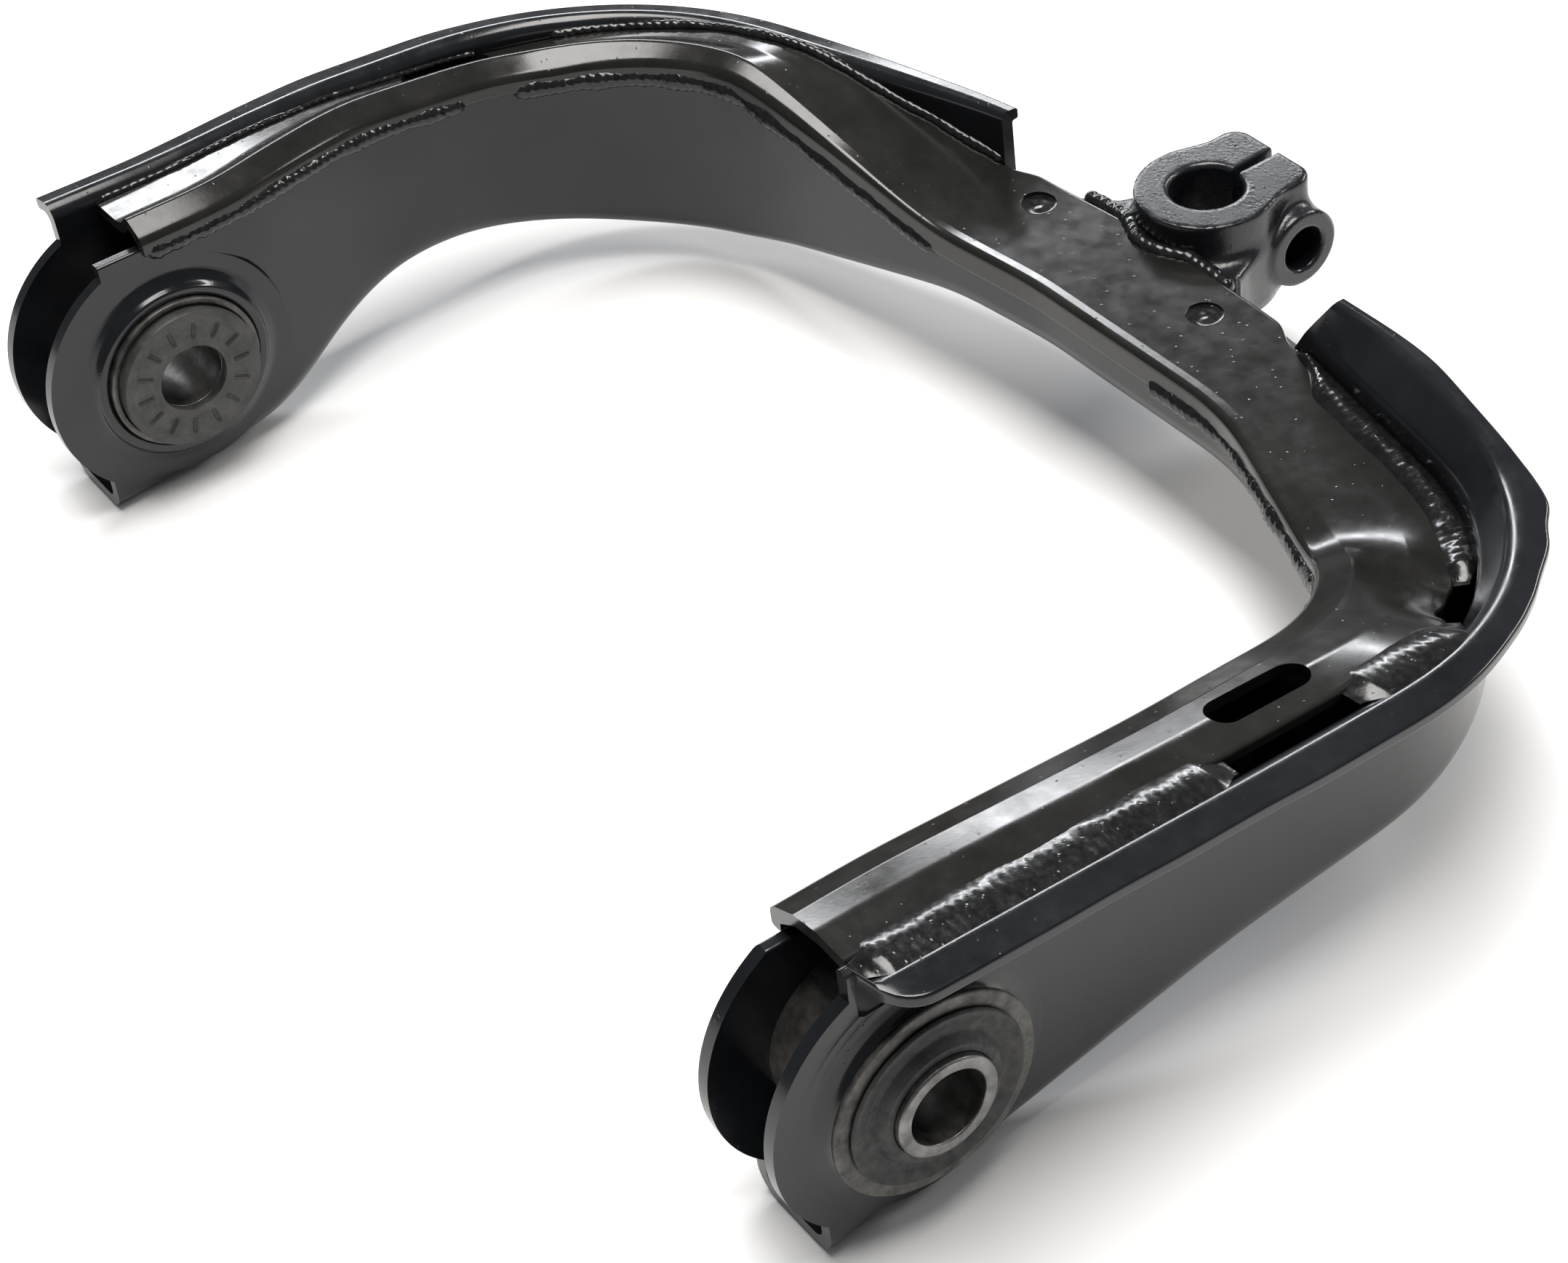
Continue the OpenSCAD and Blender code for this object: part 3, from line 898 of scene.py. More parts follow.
@dataclass
class Stations:
    """Matched places on the inner, outer and rim lines, one row per station.

    Attributes:
        start: (u, y) on the inner line.
        across: unit direction from the inner to the outer line.
        width: distance from the inner to the outer line.
        rim: distance from the outer line to the flange's free edge.
        outer: (u, y) on the outer line.
        run: distance along the outer line.
        step: distance between stations.
    """

    start: Array
    across: Array
    width: Array
    rim: Array
    outer: Array
    run: Array
    step: float

    @classmethod
    def match(
        cls, lines: YokeLines, step: float, front_left: float, front_right: float
    ) -> "Stations":
        """Match each place on the outer line with the nearest one on the inner line.

        Args:
            lines: the arm's shared lines.
            step: distance between stations in mm.
            front_left: y of the left leg's front edge.
            front_right: y of the right leg's front edge.

        Returns:
            Stations: the matched places.
        """
        outer = even_steps(lines.outer, step)
        keep = outer[:, 1] > np.where(outer[:, 0] < 0, front_left, front_right)
        middle = np.flatnonzero(keep)
        outer = outer[middle[0] - 1:middle[-1] + 2].copy()
        outer[0, 1], outer[-1, 1] = front_left, front_right
        gap = np.linalg.norm(outer[:, None] - lines.inner[None], axis=2)
        place = spread_along(gap.argmin(axis=1).astype(float), 6, step)
        number = np.arange(len(lines.inner))
        start = np.stack([np.interp(place, number, lines.inner[:, k]) for k in (0, 1)], axis=1)
        start[0, 1], start[-1, 1] = front_left, front_right
        across = outer - start
        width = np.linalg.norm(across, axis=1)
        across = across / width[:, None]
        away = lines.rim[None] - outer[:, None]
        ahead = (away * across[:, None]).sum(2)
        aside = np.abs(away[..., 0] * across[:, None, 1] - away[..., 1] * across[:, None, 0])
        aside = np.where((ahead > -2) & (ahead < 40), aside, 1e6)
        pick = aside.argmin(axis=1)
        rim = spread_along(ahead[np.arange(len(outer)), pick], 3, step)
        run = np.arange(len(outer)) * step
        return cls(start, across, width, rim, outer, run, step)

    def eased(self, values: Array, spread: float = 6.0) -> Array:
        """Values at the stations, smoothed along the arm as in spread_along."""
        return spread_along(values, spread, self.step)

    def place(self, a: Array, z: Array) -> Array:
        """Points at distance a from the inner line and height z, in the arm's axes."""
        flat = self.start[:, None] + a[..., None] * self.across[:, None]
        return np.concatenate([flat + np.array([MID_X, 0.0]), z[..., None]], axis=-1)

    def sweep(self, name: str, loop: Array, sharp_deg: float = 32.0) -> bpy.types.Object:
        """Closed piece from one outline per station.

        Args:
            name: the piece's name.
            loop: (stations, points, 2) distances from the inner line and heights.
            sharp_deg: edges that turn by more than this stay sharp.

        Returns:
            bpy.types.Object: the piece.
        """
        points = self.place(loop[..., 0], loop[..., 1])
        faces = grid_faces(len(loop), loop.shape[1], False)
        return make_piece(name, points.reshape(-1, 3), faces, sharp_deg)


# ---------------------------------------------------------------- pressings


@dataclass
class LowerChannel:
    """The U channel: two walls with round ears, a web and an outward flange.

    Attributes:
        lines: the arm's shared lines.
        bend: outside radius of the bend between web and wall.
        roll: outside radius of the bend between wall and flange.
        ear: radius of the ears.
        hole: radius of the bushing holes.
        collar: height of the drawn collar round each hole.
        lip_root: how far the inner wall's edge lies below the plate's top.
        lean: how far the right leg's outer wall leans out below the flange.
        flange_front: y where the right leg's flange begins.
        dent: depth of the dents in the rim at the right corner.
    """

    lines: YokeLines
    bend: float = 6.0
    roll: float = 4.5
    ear: float = 33.3
    hole: float = 19.55
    collar: float = 3.0
    lip_root: float = 6.2
    lean: float = 6.5
    flange_front: float = -10.5
    dent: float = 1.4

    def rim_reach(self, st: Stations) -> Array:
        """How far the flange's free edge stands out from the wall.

        The edge is uneven, most of all at the right corner, and its front end is a quarter
        round of 8 mm.

        Args:
            st: the stations.

        Returns:
            Array: the distance at every station.
        """
        u, y = st.outer.T
        at_corner = np.exp(-(((u - 147) / 16) ** 2 + ((y - 160) / 16) ** 2))
        ragged = (-0.25 + 0.25 * wobble(st.run, 17, 3) - self.dent * at_corner
                  * (1 + wobble(st.run, 7, 8))) * step_up(st.rim, 5, 9)
        round_end = 8.0
        front = np.clip((self.flange_front + round_end - y) / round_end, 0, 1) * (u > 0)
        rim = np.maximum(st.rim - round_end * (1 - np.sqrt(1 - front ** 2)), 1.2) + ragged
        return np.where((u > 0) & (y < self.flange_front), 0.3, rim)

    def outline(self, st: Stations) -> Array:
        """Corner points of the channel's section at every station.

        Args:
            st: the stations.

        Returns:
            Array: (stations, corners, 2) distances from the inner line and heights.
        """
        t = self.lines.sheet
        w = st.width
        web_in = st.eased(self.lines.web(*st.start.T), 7)
        web_out = st.eased(self.lines.web(*st.outer.T), 7)
        top = st.eased(self.lines.flange(*st.outer.T))
        under_lip = st.eased(self.lines.plate(*st.start.T)) - self.lip_root
        u = st.outer[:, 0]
        rim = self.rim_reach(st)
        flare = np.minimum(self.lean * step_up(u, 48, 70), rim - 0.2)
        drop = 0.6 + 1.6 * step_up(-u, 60, 110) * step_up(rim, 3, 7)
        zero = np.zeros_like(w)
        corners = [
            (w + rim, top - t - drop), (w + flare, top - t - 0.3), (w, top - 12), (w, web_out),
            (zero, web_in), (zero, under_lip), (zero + t, under_lip), (zero + t, web_in + t),
            (w - t, web_out + t), (w - t, top - 10), (w - t + flare, top), (w + rim, top - drop),
        ]
        return outlines(corners)

    def side_view(self) -> Array:
        """Outline that trims both walls: round ear, square tip and the leg behind.

        Returns:
            Array: rows of (y, z); the far corners lie well beyond the arm.
        """
        angle = np.radians(np.linspace(113.0, 223.9, 65))
        ear = self.ear * np.stack([np.cos(angle), np.sin(angle)], axis=1)
        tip = [(-24.0, -45.0), (260.0, -45.0), (260.0, 70.0), (-13.0, 70.0)]
        return np.concatenate([ear, np.array(tip)])

    def apex_gap(self) -> Array:
        """Outline of the gap in the outer wall and flange at the apex.

        Returns:
            Array: rows of (x, z).
        """
        outline = rounded_profile(
            [(-46, 9, 1), (52, 9, 1), (53, 12, 2), (66, 33, 6), (60, 60, 1), (-52, 60, 1),
             (-46, 28, 7)], 6, 1)
        return outline + np.array([MID_X, 0.0])

    def collars(self) -> tuple[Array, list]:
        """Points and faces of the four drawn collars.

        Each is a closed ring whose foot curves out of the wall and whose mouth is rounded.

        Returns:
            tuple[Array, list]: points in mm and corner numbers of each face.
        """
        h = self.collar
        profile = rounded_profile(
            [(self.hole, -1.0, 0), (30.0, -1.0, 0), (29.4, -0.12, 0), (25.6, 0.25, 5),
             (22.9, 1.5, 2.5), (22.0, h, 1.0), (self.hole, h, 1.1)], 8, 2)
        points, faces, steps = [], [], 128
        for side in Side:
            inner_x = MID_X + side.value * self.lines.ear_u
            outer_x = inner_x + side.value * self.lines.width
            for x, way in ((inner_x, -side.value), (outer_x, side.value)):
                quads = grid_faces(steps, len(profile), True, sum(len(p) for p in points))
                faces += [q[::-1] for q in quads] if way < 0 else quads
                points.append(turned_shell(profile, x, way, steps))
        return np.concatenate(points), faces

    def build(self) -> bpy.types.Object:
        """Make the channel.

        Returns:
            bpy.types.Object: the piece.
        """
        st = Stations.match(self.lines, 1.3, -36.0, -36.0)
        radii = np.array([0.8, 3.0, 5.0, self.bend, self.bend, 0.6, 0.6, 3.0, 3.0, 6.0, self.roll,
                          0.8])
        piece = st.sweep("channel_pressing", fillet_loop(self.outline(st), radii))
        apply_cut(piece, prism("side_cutter", self.side_view(), 0, -90.0, 350.0), Cut.KEEP)
        hole = circle(self.hole, 160)
        for low, high in ((-60.0, 10.0), (246.0, 320.0)):
            apply_cut(piece, prism("hole_cutter", hole, 0, low, high), Cut.AWAY)
        apply_cut(piece, prism("gap_cutter", self.apex_gap(), 1, 165.0, 230.0), Cut.AWAY)
        neck = np.array([(98.0, -6.5), (158.0, -6.5), (158.0, 60.0), (98.0, 60.0)])
        apply_cut(piece, prism("neck_cutter", neck, 1, 172.0, 230.0), Cut.AWAY)
        join_into(piece, make_piece("drawn_collars", *self.collars()))
        smooth(piece, 32)
        return piece


def join_into(piece: bpy.types.Object, extra: bpy.types.Object) -> None:
    """Add a second shell to a piece's mesh and remove its object.

    Args:
        piece: the piece, changed in place.
        extra: the object whose mesh is added.
    """
    places, corners, starts = [], [], []
    first_vertex = first_loop = 0
    for mesh in (piece.data, extra.data):
        place = np.empty(len(mesh.vertices) * 3)
        mesh.vertices.foreach_get("co", place)
        corner = np.empty(len(mesh.loops), dtype=np.int32)
        mesh.loops.foreach_get("vertex_index", corner)
        start = np.empty(len(mesh.polygons), dtype=np.int32)
        mesh.polygons.foreach_get("loop_start", start)
        places.append(place)
        corners.append(corner + first_vertex)
        starts.append(start + first_loop)
        first_vertex += len(mesh.vertices)
        first_loop += len(mesh.loops)
    joined = bpy.data.meshes.new(piece.name)
    for rows, key, parts in (
        (joined.vertices, "co", places), (joined.loops, "vertex_index", corners),
        (joined.polygons, "loop_start", starts)
    ):
        values = np.concatenate(parts)
        rows.add(len(values) // (3 if key == "co" else 1))
        rows.foreach_set(key, values if key == "co" else values.astype(np.int32))
    joined.update(calc_edges=True)
    joined.validate()
    piece.data = joined
    bpy.data.objects.remove(extra, do_unlink=True)


@dataclass
class TopPlate:
    """The plate that closes the channel, with a lip folded down over the inner wall.

    Attributes:
        lines: the arm's shared lines.
        lip: depth of the lip below the plate's inner edge.
        fold: outside radius of the fold.
        crown: how far the middle of the right leg stands above a straight section.
        front_left: y of the left leg's front edge.
        front_right: y of the right leg's front edge.
        slots: centre of each lightening slot, in x and y.
        slot_half: from a slot's middle to the centre of its round end.
        slot_radius: half a slot's width.
        plug_hole: radius of the plug weld holes.
    """

    lines: YokeLines
    lip: float = 7.0
    fold: float = 3.0
    crown: float = 1.0
    front_left: float = -2.0
    front_right: float = -11.0
    slots: tuple[tuple[float, float], ...] = ((275.0, 92.5), (-28.5, 94.0))
    slot_half: float = 8.0
    slot_radius: float = 4.2
    plug_hole: float = 4.4

    def stations(self, step: float) -> Stations:
        """Stations between the plate's own front edges."""
        return Stations.match(self.lines, step, self.front_left, self.front_right)

    def edges(self, st: Stations) -> tuple[Array, Array, Array]:
        """Heights of the plate along its length.

        Args:
            st: the stations.

        Returns:
            tuple[Array, Array, Array]: at the inner line, the crease and the outer edge.
        """
        u, y = st.outer.T
        z_in = st.eased(self.lines.plate(*st.start.T))
        z_out = st.eased(self.lines.plate(u, y))
        flat = step_up(z_in, 12.5, 24)
        crease = z_in + flat * np.where(u < 0, 1.3, 1.7)
        sunk = 3.4 * step_up(-u, 90, 150) * step_up(z_out, 20, 30)
        low = self.lines.flange(u, y) - 0.4
        level = np.where(u > 100, np.minimum(z_out, low), z_out) - sunk
        return z_in, crease, st.eased(level, 3)

    def crease_at(self, st: Stations) -> Array:
        """Distance of the crease from the inner line: small at the apex, wide on the legs."""
        on_leg = step_up(np.abs(st.start[:, 0] + 6), 60, 135)
        return 0.8 + on_leg * np.where(st.outer[:, 0] < 0, 2.9, 4.2)

    def outer_edge(self, st: Stations) -> Array:
        """Distance of the plate's outer edge from the inner line.

        It stands out over the clamp's neck and beside the right slot, and falls short at the
        welded gap and its notch.

        Args:
            st: the stations.

        Returns:
            Array: the distance at every station.
        """
        u, y = st.outer.T
        tongue = np.minimum(step_up(u, -46.5, -37), 1 - step_up(u, 43, 52)) * (y > 150)
        short = step_up(u, 58, 74) * (1 - step_up(u, 150, 157)) * (y > 140)
        notch = step_up(u, 139, 143) * (y > 138) * (1 - step_up(u, 156, 158.5))
        wide = (u > 0) * step_up(y, 68, 76) * (1 - step_up(y, 104, 110)) * (y < 120)
        return st.width - self.lines.sheet - 0.05 + 3 * tongue - 4.5 * short - notch + 0.6 * wide

    def build(self) -> bpy.types.Object:
        """Make the plate.

        Returns:
            bpy.types.Object: the piece.
        """
        st = self.stations(1.3)
        t = self.lines.sheet
        z_in, z_crease, z_out = self.edges(st)
        edge = self.outer_edge(st)
        crease = self.crease_at(st)
        left = st.outer[:, 0] < 0
        sunk = step_up(-st.outer[:, 0], 90, 150)
        mid = 0.52 * st.width * (1 - sunk) + (crease + 4.6) * sunk
        z_mid = np.where(left, z_out + (0.3 - 0.22 * sunk) * (z_crease - z_out),
                         (z_crease + z_out) / 2 + self.crown * step_up(z_in, 14, 30))
        z_mid = st.eased(z_mid, 4)
        inner = np.full_like(edge, -t)
        zero = np.full_like(edge, -0.03)
        lip = z_in - self.lip
        turn = z_in - (crease - 0.8) * np.where(left, 0.95, 0.58) + 0.4
        corners = [
            (inner, lip), (inner, turn), (crease, z_crease), (mid, z_mid), (edge, z_out),
            (edge, z_out - t), (mid, z_mid - t), (crease, z_crease - t), (zero, turn - t * 0.9),
            (zero, lip),
        ]
        radii = np.array([0.9, self.fold, 1.8, 9.0, 0.9, 0.5, 7.0, 0.8, 1.0, 0.6])
        piece = st.sweep("plate_pressing", fillet_loop(outlines(corners), radii, 7, 9))
        for centre in self.slots:
            slot = capsule(centre, self.slot_half, self.slot_radius, 90.0)
            apply_cut(piece, prism("slot_cutter", slot, 2, 5.0, 60.0), Cut.AWAY)
        for u in (-PLUG_U, PLUG_U):
            hole = circle(self.plug_hole, 48, (MID_X + u, PLUG_Y))
            apply_cut(piece, prism("plug_cutter", hole, 2, 0.0, 30.0), Cut.AWAY)
        smooth(piece, 32)
        return piece


# ---------------------------------------------------------------- welds


@dataclass
class Bead:
    """One run of weld, a rippled round bead laid along a line.

    Attributes:
        line: (points, 3) centre line in mm.
        radius: half the bead's width.
        pitch: distance between ripples.
        seed: fixes the bead's unevenness.
    """

    line: Array
    radius: float = 2.3
    pitch: float = 2.3
    seed: int = 1

    def shell(self) -> tuple[Array, int, int]:
        """Points of the bead's surface.

        At distance s and angle t the radius is the bead's own times a round end profile,
        times 1 + slow unevenness + crescent ripples |sin(pi (s + lag cos t) / pitch)|.

        Returns:
            tuple[Array, int, int]: points, rows and points per row.
        """
        line = even_steps(self.line, BEAD_STEP)
        count = 18
        run = np.arange(len(line)) * BEAD_STEP
        way = unit(spread_along(np.gradient(line, axis=0), 2, BEAD_STEP))
        side = unit(np.cross(way, np.array([0.0, 0.0, 1.0])))
        rise = np.cross(side, way)
        from_end = np.minimum(run, run[-1] - run) / self.radius
        cap = np.sqrt(np.clip(1 - (1 - np.minimum(from_end, 1)) ** 2, 0.0009, 1))
        uneven = 1 + 0.13 * wobble(run, 7, self.seed) + 0.07 * wobble(run, 2.6, self.seed + 1)
        angle = np.linspace(0, 2 * math.pi, count, endpoint=False)[None]
        lag = 0.9 * self.radius * np.cos(angle)
        ripple = np.abs(np.sin(math.pi * (run[:, None] + lag) / self.pitch)) ** 0.7
        lumps = 0.05 * wobble(run, 1.3, self.seed + 5)[:, None] * np.sin(2 * angle)
        radius = self.radius * (cap * uneven)[:, None] * (0.9 + 0.12 * ripple + lumps)
        sway = 0.35 * wobble(run, 9, self.seed + 2)[:, None]
        centre = line + side * sway
        points = (
            centre[:, None]
            + (radius * np.sin(angle))[..., None] * side[:, None]
            + (radius * np.cos(angle))[..., None] * rise[:, None]
        )
        return points.reshape(-1, 3), len(line), count


@dataclass
class WeldBand:
    """A broad flat run of weld that fills the space between two edges.

    Attributes:
        low: (points, 3) line along the plate's edge in mm.
        high: (points, 3) line along the other edge.
        crown: how far the middle stands above a straight section.
        seed: fixes the band's unevenness.
    """

    low: Array
    high: Array
    crown: float
    seed: int

    def shell(self) -> tuple[Array, int, int]:
        """Points of the band's surface.

        Across the band, at t from 0 to 1, the top stands above the straight line between the
        edges by crown 4 t (1 - t) times crescent ripples and slow lumps; both ends sink.

        Returns:
            tuple[Array, int, int]: points, rows and points per row.
        """
        both = even_steps(np.concatenate([self.low, self.high], axis=1), 0.55)
        run = np.arange(len(both)) * 0.39
        end = step_up(np.minimum(run, run[-1] - run), 0.0, 6.0)[:, None]
        columns, middle = 16, 8
        share = (1 - np.cos(np.linspace(0, math.pi, columns))) / 2
        sway = 0.5 * wobble(run, 9, self.seed) + 0.2 * wobble(run, 4, self.seed + 1)
        push = np.where(share < 0.5, (1 - 2 * share) ** 2, 0)[None] * sway[:, None]
        near, far = both[:, None, :3], both[:, None, 3:]
        line = near * (1 - share)[None, :, None] + far * share[None, :, None]
        line = line + unit(near - far) * push[..., None]
        hump = 4 * share * (1 - share)
        wave = np.abs(np.sin(math.pi * (run[:, None] + 5 * (share - 0.5) ** 2) / 2.1)) ** 0.8
        lumps = 0.3 * wobble(run, 9, self.seed + 2)[:, None] + 0.12 * wobble(
            run, 2.6, self.seed + 3)[:, None] * np.sin(7 * share + self.seed)
        rise = (self.crown * (0.9 + 0.05 * wave + lumps) * hump - 0.35) * end - 0.9 * (1 - end)
        line = line + (1 - end[..., None]) * 0.55 * (line[:, middle:middle + 1] - line)
        top = line + rise[..., None] * np.array([0.0, 0.0, 1.0])
        under = line[:, ::-1].copy()[:, [0, middle, columns - 1]]
        under[..., 2] -= 1.4
        points = np.concatenate([top, under], axis=1)
        return points.reshape(-1, 3), len(both), points.shape[1]


def bead_piece(name: str, beads: list[Bead | WeldBand]) -> bpy.types.Object:
    """One piece from several runs of weld.

    Args:
        name: the piece's name.
        beads: the runs.

    Returns:
        bpy.types.Object: the piece.
    """
    points, faces, first = [], [], 0
    for bead in beads:
        shell, rows, count = bead.shell()
        points.append(shell)
        faces += grid_faces(rows, count, False, first)
        first += len(shell)
    return make_piece(name, np.concatenate(points), faces, 60)


@dataclass
class Welds:
    """Every weld that holds the pressings and the clamp together.

    Attributes:
        lines: the arm's shared lines.
        plate: the plate, whose edges the seams follow.
    """

    lines: YokeLines
    plate: TopPlate

    def seam_lines(self) -> tuple[Stations, Array, Array]:
        """Centre lines of the inner and outer seams.

        Returns:
            tuple[Stations, Array, Array]: the stations and both lines' points there.
        """
        st = self.plate.stations(1.0)
        z_in, _, z_out = self.plate.edges(st)
        edge = self.plate.outer_edge(st)
        inner = st.place(np.full((len(edge), 1), -1.5), (z_in - self.plate.lip + 0.3)[:, None])
        outer = st.place((edge + 0.4)[:, None], (z_out + 0.1)[:, None])
        return st, inner[:, 0], outer[:, 0]

    def band_lines(self, st: Stations) -> tuple[Array, Array]:
        """Lines along the plate's outer edge and along the flange's root.

        Args:
            st: the stations.

        Returns:
            tuple[Array, Array]: both lines' points at the stations.
        """
        _, _, z_out = self.plate.edges(st)
        u, y = st.outer.T
        edge = self.plate.outer_edge(st)
        high = self.lines.flange(u, y)
        wall = st.width - self.lines.sheet
        on_leg = 1 - step_up(y, 128, 150)
        far = wall + on_leg * (self.lines.sheet + 4.8) + (1 - on_leg) * 0.4
        far_z = z_out * (1 - on_leg) + on_leg * high + 1.2 * (1 - on_leg)
        near = edge - 2.2 - 1.2 * on_leg
        low_line = st.place(near[:, None], z_out[:, None])[:, 0]
        return low_line, st.place(far[:, None], far_z[:, None])[:, 0]

    @staticmethod
    def stretch(st: Stations, line: Array, low: float, high: float) -> Array:
        """Part of a seam between two distances along the arm."""
        return line[(st.run >= low) & (st.run <= high)]

    @staticmethod
    def first(st: Stations, found: Array) -> float:
        """Distance along the arm of the first station where something holds."""
        return st.run[np.flatnonzero(found)[0]]

    def build(self, material: bpy.types.Material) -> None:
        """Make, dress and place every weld.

        Args:
            material: the beads' finish.
        """
        st, inner, outer = self.seam_lines()
        left_end, right_start = (self.first(st, st.start[:, 0] > u) for u in (-40, 34))
        cut_left, cut_right, gap_start = (self.first(st, st.outer[:, 0] > u)
                                          for u in (-47, 53, 139))
        total = st.run[-1]
        runs = {
            "inner_weld_left": (inner, [(1.0, 96.0, 2.4), (112.0, left_end, 2.6)]),
            "inner_weld_right": (inner, [(right_start, right_start + 118, 2.7),
                                         (right_start + 124, total - 78, 2.5),
                                         (total - 70, total - 2, 2.1)]),
            "outer_weld_left": (outer, [(2.0, 108.0, 1.0), (128.0, cut_left, 1.6)]),
        }
        for number, (name, (line, parts)) in enumerate(runs.items()):
            beads = [
                Bead(self.stretch(st, line, low, high), size, 2.3, 11 * number + k)
                for k, (low, high, size) in enumerate(parts)
            ]
            finish_piece(bead_piece(name.replace("weld", "seam"), beads), material, "arm",
                         "weld", name)
        low_line, high_line = self.band_lines(st)
        u, y = st.outer.T
        slot_back, slot_start, slot_end = (self.first(st, (u > 100) & (y < v))
                                           for v in (138.0, 106.0, 76.0))
        bands = [
            WeldBand(self.stretch(st, low_line, first, last),
                     self.stretch(st, high_line, first, last), crown, seed)
            for first, last, crown, seed in (
                (cut_right, gap_start, 1.9, 31), (slot_back, slot_start, 0.9, 32),
                (slot_end, total, 1.1, 33))
        ]
        finish_piece(bead_piece("outer_seam_right", bands), material, "arm", "weld",
                     "outer_weld_right")
        self.build_clamp_weld(material)
        for side in Side:
            self.build_plug(side, material)

    def build_clamp_weld(self, material: bpy.types.Material) -> None:
        """Make the bead along the plate's edge, carried round the clamp's ring.

        Args:
            material: its finish.
        """
        half, ring, edge = 26.0, 18.4, 190.6
        away = math.sqrt(ring ** 2 - (REACH - edge) ** 2)
        left = np.array([[-half, edge, 10.6], [-away - 2, edge, 10.8]])
        angle = np.linspace(math.atan2(edge - REACH, -away), math.atan2(edge - REACH, away), 40)
        arc = np.stack([ring * np.cos(angle), REACH + ring * np.sin(angle),
                        np.full(40, 11.6)], axis=1)
        line = np.concatenate([left, arc, left[::-1] * np.array([-1, 1, 1])])
        line = spread_along(even_steps(line, BEAD_STEP), 1.2, BEAD_STEP)
        piece = bead_piece("clamp_seam", [Bead(line + np.array([MID_X, 0, 0]), 2.2, 2.4, 71)])
        finish_piece(piece, material, "arm", "weld", "clamp_weld")

    def build_plug(self, side: Side, material: bpy.types.Material) -> None:
        """Make one plug weld: a shallow swirled button in its hole.

        The height at radius r and angle t is a rim that rises to the hole's edge plus a
        spiral ripple cos(t - 4 r).

        Args:
            side: which of the two plugs.
            material: its finish.
        """
        radius, top, bottom = 4.7, 10.9, 9.05
        share = np.linspace(0.02, 1, 18)[:, None]
        angle = np.linspace(0, 2 * math.pi, 48, endpoint=False)[None]
        r = radius * share
        z = top + 0.5 * share ** 3 + 0.28 * np.cos(angle - 4.2 * share) * share * (1 - share) * 3
        x = MID_X + PLUG_U * side.value + r * np.cos(angle)
        y = PLUG_Y + r * np.sin(angle)
        upper = np.stack([x, y, z], axis=-1)
        lower = upper[-1:].copy()
        lower[..., 2] = bottom
        points = np.concatenate([upper, lower]).reshape(-1, 3)
        piece = make_piece(f"plug_weld_button_{side.name.lower()}", points,
                           grid_faces(19, 48, False), 50)
        finish_piece(piece, material, "arm", "weld", f"plug_weld_{side.name.lower()}")


# ---------------------------------------------------------------- clamp


